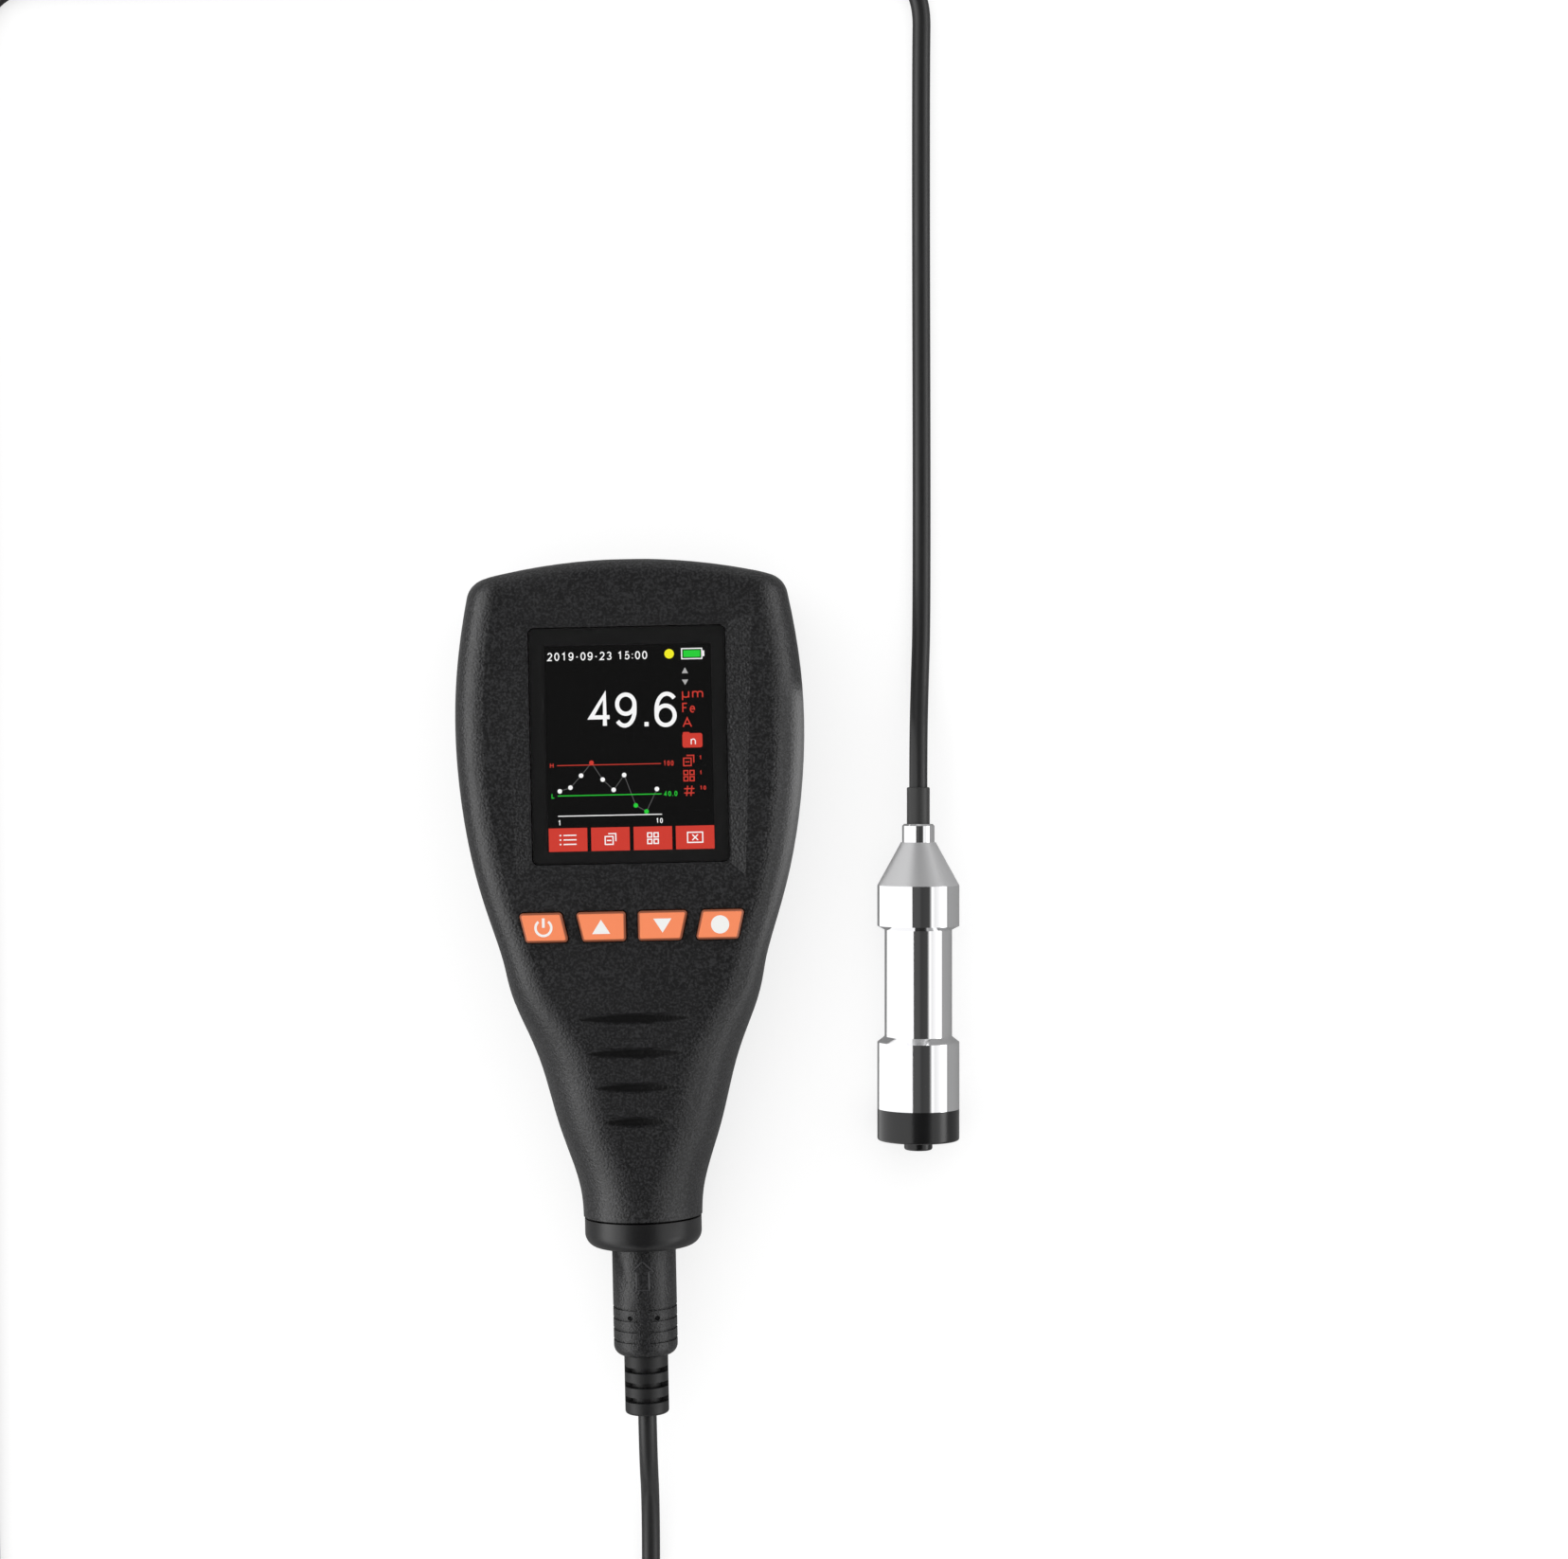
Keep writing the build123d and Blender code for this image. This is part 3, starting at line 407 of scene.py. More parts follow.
def reckon(tree, operation, *values):
    """The result of a math node, from sockets or plain numbers."""
    return add_node(tree, "ShaderNodeMath", dict(enumerate(values)), operation=operation).outputs["Value"]


def times(tree, *values):
    return reckon(tree, "MULTIPLY", *values)


def less(tree, *values):
    return reckon(tree, "SUBTRACT", *values)


def spread(tree, value, low, high, floor=0.0, ceiling=1.0):
    """A range of a value, opened out between two others."""
    inputs = {"Value": value, "From Min": low, "From Max": high, "To Min": floor, "To Max": ceiling}
    return add_node(tree, "ShaderNodeMapRange", inputs).outputs["Result"]


def reach(tree, vector, way):
    """How far a vector reaches along a way."""
    inputs = {0: vector, 1: way}
    return add_node(tree, "ShaderNodeVectorMath", inputs, operation="DOT_PRODUCT").outputs["Value"]


def object_place(tree):
    return tree.nodes.new("ShaderNodeTexCoord").outputs["Object"]


def split(tree, vector):
    """A vector's X, Y and Z."""
    return add_node(tree, "ShaderNodeSeparateXYZ", {"Vector": vector}).outputs


def noise(tree, **inputs):
    return add_node(tree, "ShaderNodeTexNoise", inputs).outputs["Fac"]


# Shader groups that more than one finish uses


def shader_group(name, inputs, outputs):
    """A shader node group, its number inputs as sockets, and the node that takes its number outputs."""
    group = bpy.data.node_groups.new(name, "ShaderNodeTree")
    for label, value in inputs.items():
        add_socket(group, label, "INPUT").default_value = value
    for label in outputs:
        add_socket(group, label, "OUTPUT")
    return group, group.nodes.new("NodeGroupInput").outputs, group.nodes.new("NodeGroupOutput")


def moulded_grain():
    """The fine pebbled texture of a moulding: its height, and its speckle for painted glints."""
    group, enter, leave = shader_group("moulded grain", {"Size": 0.0003}, ("Height", "Speckle"))
    place = object_place(group)
    scale = reckon(group, "DIVIDE", 1.0, enter["Size"])
    inputs = {"Vector": place, "Scale": scale, "Smoothness": 0.6}
    cells = add_node(group, "ShaderNodeTexVoronoi", inputs, feature="SMOOTH_F1")
    cloud = noise(group, Vector=place, Scale=times(group, scale, 1.1), Detail=2.0)
    height = reckon(group, "ADD", cells.outputs["Distance"], cloud)
    height = times(group, height, 0.5)
    fill(group, leave, {"Height": height, "Speckle": spread(group, cloud, 0.45, 0.62)})
    return group


def handling_marks():
    """Slow clouds of shine, as fingers leave on a used surface."""
    group, enter, leave = shader_group("handling marks", {"Size": 0.02}, ("Shine",))
    scale = reckon(group, "DIVIDE", 1.0, enter["Size"])
    cloud = noise(group, Vector=object_place(group), Scale=scale, Detail=4.0, Roughness=0.6)
    fill(group, leave, {"Shine": spread(group, cloud, 0.3, 0.7)})
    return group


def turning_lines():
    """Fine rings round the probe, and the way along its axis."""
    group, enter, leave = shader_group("turning lines", {"Pitch": 0.0001}, ("Height", "Along"))
    ends = {0: object_place(group), 1: probe_foot}
    place = add_node(group, "ShaderNodeVectorMath", ends, operation="SUBTRACT").outputs["Vector"]
    along = reach(group, place, probe_axis)
    inputs = {"W": reckon(group, "DIVIDE", along, enter["Pitch"]), "Scale": 1.0, "Detail": 3.0}
    lines = add_node(group, "ShaderNodeTexNoise", inputs, noise_dimensions="1D")
    fill(group, leave, {"Height": lines.outputs["Fac"], "Along": along})
    return group


def groove_shade():
    """Painted shade on the front cover, darker in its lens-shaped grip grooves."""
    group, _, leave = shader_group("groove shade", {}, ("Shade",))
    place = split(group, object_place(group))
    down = less(group, first_groove_y, place["Y"])
    row = reckon(group, "ROUND", reckon(group, "DIVIDE", down, groove_pitch))
    row = reckon(group, "MINIMUM", reckon(group, "MAXIMUM", row, 0.0), groove_count - 1)
    middle = times(group, row, groove_pitch)
    off = reckon(group, "ABSOLUTE", less(group, down, middle))
    half = less(group, first_groove_half, times(group, row, groove_shortening))
    across = reckon(group, "POWER", reckon(group, "DIVIDE", place["X"], half), 2.0)
    lens = reckon(group, "SQRT", reckon(group, "MAXIMUM", less(group, 1.0, across), 0.0))
    inside = less(group, times(group, lens, groove_half_width), off)
    fill(group, leave, {"Shade": spread(group, inside, 0.0, groove_edge)})
    return group


def shared(tree, maker, **values):
    """The outputs of a shader group in a tree; the group is built the first time it is asked for."""
    group = bpy.data.node_groups.get(maker.__name__.replace("_", " ")) or maker()
    return add_node(tree, "ShaderNodeGroup", values, node_tree=group).outputs


# Finishes


def finish(name, base, roughness, metallic=0.0):
    """A material, its tree and its shader, with the shader's own values set."""
    material = bpy.data.materials.get(name) or bpy.data.materials.new(name)
    material.use_nodes = True
    tree = material.node_tree
    shader = tree.nodes["Principled BSDF"]
    fill(tree, shader, {"Base Color": (*base, 1.0), "Roughness": roughness, "Metallic": metallic})
    return material, tree, shader


def toned(base, part):
    """A share of a colour."""
    return [channel * part for channel in base]


def raise_surface(tree, shader, height, distance):
    """Bump on a shader, from a height."""
    bump = add_node(tree, "ShaderNodeBump", {"Height": height, "Distance": distance, "Strength": 1.0})
    fill(tree, shader, {"Normal": bump.outputs["Normal"]})


def cloud_shine(tree, shader, width, low, high, start=0.0):
    """Slow clouds of shine on a shader, between two roughnesses."""
    marks = shared(tree, handling_marks, Size=width)
    fill(tree, shader, {"Roughness": spread(tree, marks["Shine"], start, 1.0, low, high)})


def blend_colours(tree, mask, first, second):
    """A colour between two others, by a mask; each may be a socket."""
    first, second = (tone if isinstance(tone, NodeSocket) else (*tone, 1.0) for tone in (first, second))
    inputs = {"Factor": mask, 6: first, 7: second}
    return add_node(tree, "ShaderNodeMix", inputs, data_type="RGBA").outputs[2]


def grained_plastic(name, base, roughness, grain, depth, grooved=False):
    """Matte pebbled plastic with paler specks painted as glints, clouds of shine and, where asked, painted
    shade in the grooves.
    """
    material, tree, shader = finish(name, base, roughness)
    pebbles = shared(tree, moulded_grain, Size=grain)
    raise_surface(tree, shader, pebbles["Height"], depth)
    # paler specks painted as glints on the pebbles
    tint = blend_colours(tree, pebbles["Speckle"], base, toned(base, speck_painted_glint))
    if grooved:
        # painted shade: the colour darkens in the grip grooves
        shade = shared(tree, groove_shade)["Shade"]
        tint = blend_colours(tree, shade, tint, toned(base, groove_painted_shade))
    fill(tree, shader, {"Base Color": tint})
    cloud_shine(tree, shader, 0.018, roughness - 0.04, roughness + 0.06)
    return material


def smooth_plastic(name, base, roughness, depth=0.00001, grain=0.0006, gloss=0.5):
    """A smooth moulding with a faint unevenness."""
    material, tree, shader = finish(name, base, roughness)
    fill(tree, shader, {"Specular IOR Level": gloss})
    raise_surface(tree, shader, shared(tree, moulded_grain, Size=grain)["Height"], depth)
    cloud_shine(tree, shader, 0.01, roughness - 0.03, roughness + 0.07)
    return material


def turned_metal(name, base, roughness, pitch=0.00012, depth=0.000004):
    """Metal with fine turning lines round the probe's axis."""
    material, tree, shader = finish(name, base, roughness, metallic=1.0)
    raise_surface(tree, shader, shared(tree, turning_lines, Pitch=pitch)["Height"], depth)
    cloud_shine(tree, shader, 0.012, roughness * 0.8, roughness * 1.5)
    return material


def cone_finish(base, polish, satin):
    """The cap's finish: polished on its band and satin from the cone's start."""
    material, tree, shader = finish("probe cap metal", base, polish, metallic=1.0)
    lines = shared(tree, turning_lines, Pitch=0.00015)
    mask = spread(tree, lines["Along"], cone_start - cone_edge, cone_start + cone_edge)
    streaks = spread(tree, lines["Height"], 0.3, 0.7, satin * 0.85, satin * 1.2)
    change = times(tree, mask, less(tree, streaks, polish))
    looks = {
        "Roughness": reckon(tree, "ADD", change, polish),
        "Metallic": spread(tree, mask, 0.0, 1.0, 1.0, cone_metal),
        "Base Color": blend_colours(tree, mask, base, toned(base, cone_dull)),
    }
    fill(tree, shader, looks)
    raise_surface(tree, shader, times(tree, lines["Height"], mask), 0.00001)
    return material


def lit_colour(name, base, strength):
    """A colour that the screen shows by its own light."""
    material, tree, shader = finish(name, black, 0.5)
    looks = {"Emission Color": (*base, 1.0), "Emission Strength": strength, "Specular IOR Level": 0.0}
    fill(tree, shader, looks)
    return material


def clear_pane():
    """The window's clear plastic, faintly smeared."""
    material, tree, shader = finish("clear pane", white, 0.02)
    fill(tree, shader, {"Transmission Weight": 1.0, "IOR": 1.49, "Specular IOR Level": 0.12})
    cloud_shine(tree, shader, 0.015, 0.01, 0.045, start=0.3)
    return material


def dress(material, *parts):
    """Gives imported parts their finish."""
    for part in parts:
        for slot in nodes[part].material_slots:
            slot.material = material


# Meshes


def new_object(name, data):
    item = bpy.data.objects.new(name, data)
    bpy.context.scene.collection.objects.link(item)
    return item


def mesh_piece(name, mesh, material, body):
    """A new piece at the origin that moves with a body of the object."""
    piece = new_object(name, mesh)
    piece.data.materials.clear()
    piece.data.materials.append(material)
    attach(piece, body)
    return piece


def middle_of(node):
    """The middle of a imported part's box."""
    low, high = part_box(node)
    return (Vector(low) + Vector(high)) / 2


def arc_points(x, y, wide, tall, start, end, steps):
    """Points along an arc, from one turn to another in degrees."""
    turns = [math.radians(start + (end - start) * i / steps) for i in range(steps + 1)]
    return [(x + wide * math.cos(turn), y + tall * math.sin(turn)) for turn in turns]


def stroke_points(items):
    """The points of a stroke: corners as they are, and arcs in short steps."""
    points = []
    for item in items:
        if len(item) == 2:
            points.append(item)
        else:
            points += arc_points(*item, max(4, round(abs(item[5] - item[4]) / arc_step)))
    return points


class Sketch:
    """Flat shapes of one colour, in millimetres from a centre, collected into one mesh."""

    def __init__(self, centre):
        self.centre = centre
        self.mesh = bmesh.new()

    def shape(self, points):
        corners = [self.mesh.verts.new((x * MM, y * MM, 0.0)) for x, y in points]
        self.mesh.faces.new(corners)

    def panel(self, x0, y0, x1, y1, corner=0.0, steps=5):
        """A rectangle, its corners rounded where they have a radius."""
        if corner <= 0:
            self.shape(box_corners(x0, y0, x1, y1)[:4])
            return
        points = []
        middles = box_corners(x0 + corner, y0 + corner, x1 - corner, y1 - corner)
        for (x, y), start in zip(middles, (180, 270, 360, 450)):
            points += arc_points(x, y, corner, corner, start, start + 90, steps)
        self.shape(points)

    def disc(self, x, y, radius, sides=32):
        self.shape(arc_points(x, y, radius, radius, 0, 360, sides)[:-1])

    def ring(self, radius, width, start, end, steps=36):
        """A ring round the centre, or a part of one, from one turn to another in degrees."""
        reaches = (radius - width / 2, radius + width / 2)
        inner, outer = (arc_points(0, 0, r, r, start, end, steps) for r in reaches)
        for corners in zip(inner, outer, outer[1:], inner[1:]):
            self.shape(corners)

    def stroke(self, points, width):
        """A line of even width through some points, with mitred corners."""
        closed = math.dist(points[0], points[-1]) < 1e-6
        before = [points[-2 if closed else 0], *points[:-1]]
        after = [*points[1:], points[1 if closed else -1]]
        sides = []
        for (x0, y0), (x, y), (x1, y1) in zip(before, points, after):
            ways = [Vector((x - x0, y - y0)), Vector((x1 - x, y1 - y))]
            ways = [way.normalized() for way in ways if way.length > 1e-6]
            across = sum((Vector((-way.y, way.x)) for way in ways), Vector((0, 0))).normalized()
            across *= width / 2 / max(across.dot(Vector((-ways[0].y, ways[0].x))), least_mitre)
            sides.append(((x + across.x, y + across.y), (x - across.x, y - across.y)))
        for (a, b), (c, d) in zip(sides, sides[1:]):
            self.shape([b, d, c, a])

    def figures(self, text, x0, y0, x1, y1, weight):
        """Figures drawn with strokes of one weight, spread over a rectangle."""
        advances = [figure_widths.get(figure, 1.0) + figure_gap for figure in text]
        scale = (x1 - x0) / (sum(advances) - figure_gap)
        left, low, tall = x0 + weight / 2, y0 + weight / 2, (y1 - y0 - weight) / 100
        for figure, advance in zip(text, advances):
            wide = ((advance - figure_gap) * scale - weight) / 100
            for items in figure_strokes.get(figure, []):
                self.stroke([(left + x * wide, low + y * tall) for x, y in stroke_points(items)], weight)
            left += advance * scale

    def made(self, name, height, thickness=0.0):
        """The finished mesh: facing up at a height, or raised to a thickness from there."""
        bmesh.ops.remove_doubles(self.mesh, verts=self.mesh.verts, dist=1e-7)
        for face in self.mesh.faces:
            face.normal_update()
            if face.normal.z < 0:
                face.normal_flip()
        if thickness > 0:
            top = bmesh.ops.extrude_face_region(self.mesh, geom=list(self.mesh.faces))["geom"]
            lifted = [v for v in top if isinstance(v, bmesh.types.BMVert)]
            bmesh.ops.translate(self.mesh, verts=lifted, vec=(0, 0, thickness))
            bmesh.ops.recalc_face_normals(self.mesh, faces=self.mesh.faces)
        bmesh.ops.translate(self.mesh, verts=self.mesh.verts, vec=(self.centre.x, self.centre.y, height))
        mesh = bpy.data.meshes.new(name)
        self.mesh.to_mesh(mesh)
        self.mesh.free()
        return mesh


# Shapes that geometry nodes grow on the points or edges of a mesh


def discs(tree, base, radius):
    """A disc on each point."""
    disc = add_node(tree, "GeometryNodeMeshCircle", {"Vertices": 28, "Radius": radius}, fill_type="NGON")
    inputs = {"Points": base, "Instance": disc.outputs["Mesh"]}
    return add_node(tree, "GeometryNodeInstanceOnPoints", inputs).outputs["Instances"]


def ridge(tree, base, radius):
    """A round ridge along the edges."""
    line = add_node(tree, "GeometryNodeMeshToCurve", {"Mesh": base})
    ring = add_node(tree, "GeometryNodeCurvePrimitiveCircle", {"Resolution": 10, "Radius": radius})
    inputs = {"Curve": line.outputs["Curve"], "Profile Curve": ring.outputs["Curve"]}
    return add_node(tree, "GeometryNodeCurveToMesh", inputs).outputs["Mesh"]


def grown(name, places, edges, maker, radius, material):
    """A plain mesh that geometry nodes grow on a mesh of places and edges."""
    tree = bpy.data.node_groups.new(f"{name} {maker.__name__}", "GeometryNodeTree")
    add_socket(tree, "Base", "INPUT", "Geometry")
    wide = add_socket(tree, "Radius", "INPUT")
    add_socket(tree, "Grown", "OUTPUT", "Geometry")
    enter = tree.nodes.new("NodeGroupInput").outputs
    shape = maker(tree, enter["Base"], enter["Radius"])
    real = add_node(tree, "GeometryNodeRealizeInstances", {"Geometry": shape}).outputs["Geometry"]
    paint = add_node(tree, "GeometryNodeSetMaterial", {"Geometry": real, "Material": material})
    add_node(tree, "NodeGroupOutput", {"Grown": paint.outputs["Geometry"]})
    base = bpy.data.meshes.new(name)
    base.from_pydata(places, edges, [])
    carrier = new_object(name, base)
    modifier = carrier.modifiers.new("grow", "NODES")
    modifier.node_group = tree
    modifier[wide.identifier] = radius
    bpy.context.view_layer.update()
    seen = carrier.evaluated_get(bpy.context.evaluated_depsgraph_get())
    result = bpy.data.meshes.new_from_object(seen)
    bpy.data.objects.remove(carrier)
    result.name = name
    return result


# Lead


def lay_lead(settings):
    """The free lead, one smooth line from the bend relief round to the probe's sleeve."""
    start = middle_of("strain_relief")
    start.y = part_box("strain_relief")[0].y
    points = [start, start - Vector((0, lead_exit_run, 0)), *[Vector(p) for p in lead_route]]
    points += [probe_foot + probe_axis * (sleeve_end + run) for run in (lead_exit_run, 0.0)]
    curve = bpy.data.curves.new("probe_lead", "CURVE")
    curve.dimensions = "3D"
    curve.bevel_depth = settings.diameter / 2
    curve.bevel_resolution = 8
    curve.use_fill_caps = True
    spline = curve.splines.new("NURBS")
    spline.points.add(len(points) - 1)
    for point, place in zip(spline.points, points):
        point.co = (*place, 1.0)
    spline.order_u = 3
    spline.use_endpoint_u = True
    spline.resolution_u = 24
    sheath = smooth_plastic("lead sheath", settings.sheath, 0.38, grain=0.0009)
    piece = mesh_piece("probe_lead", curve, sheath, "plug_and_probe")
    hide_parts("lead")


# Window and screen


def glaze_window(settings):
    """The pane with its painted edges, and the dark border printed behind it."""
    low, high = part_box("display_window")
    middle = middle_of("display_window")
    wide, tall = (high.x - low.x) / 2 / MM, (high.y - low.y) / 2 / MM
    pane = Sketch(middle)
    pane.panel(-wide, -tall, wide, tall, corner=window_corner)
    lift = 2 * settings.print_thickness
    mesh = pane.made("window_pane", low.z + lift, high.z - low.z - lift)
    ink = smooth_plastic("window print", settings.border, 0.35)
    piece = mesh_piece("window_pane", mesh, clear_pane(), "handset")
    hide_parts("display_window")
    mesh.materials.append(ink)
    for face in mesh.polygons:
        face.material_index = 1 if abs(face.normal.z) < 0.5 else 0
    shift = (middle_of("display_module").y - middle.y) / MM
    view_x, view_y = screen_width / 2 + view_margin, screen_height / 2 + view_margin
    low_y, high_y = shift - view_y, shift + view_y
    wide -= border_edge
    tall -= border_edge
    border = Sketch(middle)
    border.panel(-wide, high_y, wide, tall)
    border.panel(-wide, -tall, wide, low_y)
    border.panel(-wide, low_y, -view_x, high_y)
    border.panel(view_x, low_y, wide, high_y)
    mesh = border.made("window_border", low.z + settings.print_thickness / 2, settings.print_thickness)
    mesh_piece("window_border", mesh, ink, "handset")


def draw_picture(inks, settings):
    """Everything that the screen shows, except the chart's points, each shape in its ink."""
    for ink, corner, *box in screen_panels:
        inks[ink].panel(*box, corner=corner)
    for ink, weight, corners in screen_lines:
        inks[ink].stroke(corners, weight)
    for ink, text, weight, *box in screen_words:
        inks[ink].figures(getattr(settings, text, text), *box, weight)
    for ink, sign, weight, x, y, half in screen_signs:
        for corners in sign_strokes[sign]:
            inks[ink].stroke([(x + half * right, y + half * up) for right, up in corners], weight)
    for figure, box in zip(settings.reading, reading_boxes):
        inks["white"].figures(figure, *box, reading_weight)
    for (x0, y0, _), (x1, y1, _) in zip(chart_points, chart_points[1:]):
        inks["dim"].stroke([(x0, y0), (x1, y1)], chart_weight)
    inks["yellow"].disc(*lamp)
    for corners in page_marks:
        inks["grey"].shape(corners)


def draw_screen(settings):
    """The lit picture on the display, one thin layer for each colour."""
    centre = middle_of("display_module")
    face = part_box("display_module")[1].z - picture_sink * MM
    layers = ("black", "dim", "grey", "red", "green", "yellow", "white", "pale")
    inks = {name: Sketch(centre) for name in layers}
    inks["black"].panel(-screen_width / 2, -screen_height / 2, screen_width / 2, screen_height / 2)
    draw_picture(inks, settings)
    paints = {"black": smooth_plastic("screen black", black, 0.12, gloss=0.1)}
    for name in layers[1:]:
        tone = getattr(settings, "white" if name == "pale" else name)
        paints[name] = lit_colour(f"screen {name}", tone, settings.glow)
    for order, (name, ink) in enumerate(inks.items()):
        mesh = ink.made(f"screen_{name}", face + (order + 1) * picture_step * MM)
        mesh_piece(f"screen_{name}", mesh, paints[name], "handset")
    top = face + (len(layers) + 1) * picture_step * MM
    for tone in ("white", "red", "green"):
        name = f"chart_dots_{tone}"
        places = [(centre.x + x * MM, centre.y + y * MM, top) for x, y, ink in chart_points if ink == tone]
        mesh = grown(name, places, [], discs, point_radius * MM, paints[tone])
        mesh_piece(name, mesh, paints[tone], "handset")


# Keys


def draw_key_sign(ink, key, wide):
    """A key's sign: a broken ring with a bar, a triangle up or down, or a disc."""
    half, tall = wide / 2, triangle_height * wide / 2
    if key == "power":
        ink.ring(half - ring_weight / 2, ring_weight, 90 + ring_gap, 450 - ring_gap)
        low, above, weight = ring_bar
        ink.stroke([(0.0, low), (0.0, half + above)], weight)
    elif key == "record":
        ink.disc(0.0, 0.0, half, sides=48)
    else:
        tip = tall if key == "up" else -tall
        ink.shape([(-half, -tip), (half, -tip), (0.0, tip)])


def cap_finish(base):
    """The keys' finish, with painted shade on the rounded rim below their top."""
    caps = smooth_plastic("key cap", base, 0.45)
    tree = caps.node_tree
    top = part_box("power_key")[1].z
    # painted shade: the rim below a key's top is darker
    mask = spread(tree, split(tree, object_place(tree))["Z"], *(top - drop for drop in rim_band))
    tint = blend_colours(tree, mask, toned(base, rim_painted_shade), base)
    fill(tree, tree.nodes["Principled BSDF"], {"Base Color": tint})
    return caps


def finish_keys(settings):
    """Orange caps, each with its printed sign riding on it."""
    caps = cap_finish(settings.rubber)
    print_ink = smooth_plastic("key print", settings.sign, 0.5)
    for key in ("power", "up", "down", "record"):
        dress(caps, f"{key}_key")
        ink = Sketch(middle_of(f"{key}_key"))
        draw_key_sign(ink, key, settings.sign_width / MM)
        mesh = ink.made(f"{key}_sign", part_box(f"{key}_key")[1].z + sign_lift * MM, settings.sign_thickness)
        mesh_piece(f"{key}_sign", mesh, print_ink, f"{key}_button")


# Plug


def raise_arrow(settings, material):
    """The raised outline of an arrow on top of the plug, pointing into the handset."""
    low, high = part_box("plug_shell")
    middle = middle_of("plug_shell")
    radius = (high.x - low.x) / 2
    tip_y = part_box("end_collar")[0].y - arrow_gap
    head, end = -arrow_head * settings.arrow_length, -settings.arrow_length
    half, shaft = settings.arrow_width / 2, arrow_shaft * settings.arrow_width
    right = [(half, head), (shaft, head), (shaft, end)]
    corners = [(0.0, 0.0), *right, *[(-x, y) for x, y in reversed(right)]]
    points = []
    for (x0, y0), (x1, y1) in zip(corners, corners[1:] + corners[:1]):
        for part in (step / arrow_steps for step in range(arrow_steps)):
            x, y = x0 + (x1 - x0) * part, y0 + (y1 - y0) * part
            points.append((middle.x + x, tip_y + y, middle.z + math.sqrt(radius**2 - x**2)))
    edges = [(i, (i + 1) % len(points)) for i in range(len(points))]
    mesh = grown("plug_arrow", points, edges, ridge, settings.arrow_ridge, material)
    mesh.shade_smooth()
    mesh_piece("plug_arrow", mesh, material, "plug_and_probe")


def finish_plug(settings):
    dress(grained_plastic("plug plastic", settings.plastic, 0.36, 0.0004, 0.00014), "plug_shell")
    dress(smooth_plastic("relief rubber", settings.relief, 0.48), "strain_relief")
    # the arrow is the plug's plastic made paler, a painted highlight
    raise_arrow(settings, smooth_plastic("arrow plastic", toned(settings.plastic, arrow_painted_highlight), 0.25))


# Probe


def coil_tip_spring(material):
    """The tip's spring, as a merged copy of the imported one that moves with the probe."""
    mesh = nodes["tip_spring"].data.copy()
    merged = bmesh.new()
    merged.from_mesh(mesh)
    bmesh.ops.remove_doubles(merged, verts=merged.verts, dist=1e-6)
    merged.to_mesh(mesh)
    merged.free()
    piece = mesh_piece("tip_coil", mesh, material, "plug_and_probe")
    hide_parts("tip_spring")
    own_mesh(piece)


def finish_probe(settings):
    steel = turned_metal("pole steel", (0.7, 0.7, 0.7), 0.15)
    dress(turned_metal("probe chrome", settings.chrome, settings.polish), "probe_barrel", "probe_gland")
    dress(cone_finish(settings.chrome, settings.polish, settings.satin), "probe_cap")
    dress(smooth_plastic("foot plastic", settings.foot, 0.2), "probe_base", "probe_tip")
    dress(smooth_plastic("sleeve rubber", charcoal, 0.42), "cable_sleeve")
    dress(steel, "tip_pole")
    coil_tip_spring(steel)


# Housing and inner parts


def finish_housing(settings):
    looks = (settings.plastic, settings.roughness, settings.grain, settings.grain_depth)
    dress(grained_plastic("housing plastic", *looks), "rear_cover", "battery_door")
    dress(grained_plastic("grooved plastic", *looks, grooved=True), "front_cover")
    dress(smooth_plastic("collar plastic", settings.plastic, settings.roughness), "end_collar")


def board_finish():
    """Green solder mask with paler copper tracks under it."""
    green = (0.012, 0.09, 0.035)
    material, tree, shader = finish("solder mask", green, 0.3)
    inputs = {
        "Vector": object_place(tree), "Scale": 180.0, "Mortar Size": 0.03, "Color1": (*green, 1.0),
        "Color2": (0.014, 0.11, 0.042, 1.0), "Mortar": (0.04, 0.2, 0.07, 1.0),
    }
    fill(tree, shader, {"Base Color": add_node(tree, "ShaderNodeTexBrick", inputs).outputs["Color"]})
    return material


def cell_finish():
    """A printed sleeve: dark, with a copper-coloured stretch at one end."""
    material, tree, shader = finish("cell sleeve", soot, 0.25)
    mask = spread(tree, split(tree, object_place(tree))["Y"], copper_start, copper_start + copper_edge)
    fill(tree, shader, {"Base Color": blend_colours(tree, mask, soot, (0.5, 0.24, 0.1))})
    return material


def finish_inside():
    """Plain finishes for the hidden pieces."""
    foam = smooth_plastic("seal foam", charcoal, 0.9, depth=0.0001, grain=0.0004)
    nickel = turned_metal("nickel plate", (0.7, 0.68, 0.64), 0.18)
    winding = turned_metal("copper winding", (0.7, 0.3, 0.14), 0.3, pitch=0.0004, depth=0.00008)
    dress(foam, "display_seal")
    dress(nickel, "contact_plates", "battery_springs", "plug_nose")
    dress(winding, "sensor_coil")
    dress(board_finish(), "main_board")
    dress(cell_finish(), "left_cell", "right_cell")
    dress(smooth_plastic("screen frame", soot, 0.3), "display_module")
    dress(smooth_plastic("insulator", charcoal, 0.35), "probe_socket", "plug_insert")
    dress(smooth_plastic("ferrite", (0.05, 0.05, 0.052), 0.6), "sensor_core")
    dress(turned_metal("gold plate", (0.8, 0.55, 0.2), 0.2), "key_contacts", "socket_pins")
    dress(turned_metal("zinc steel", (0.6, 0.6, 0.62), 0.3), "cover_screws", "spring_seat", "tip_spring")


# Studio


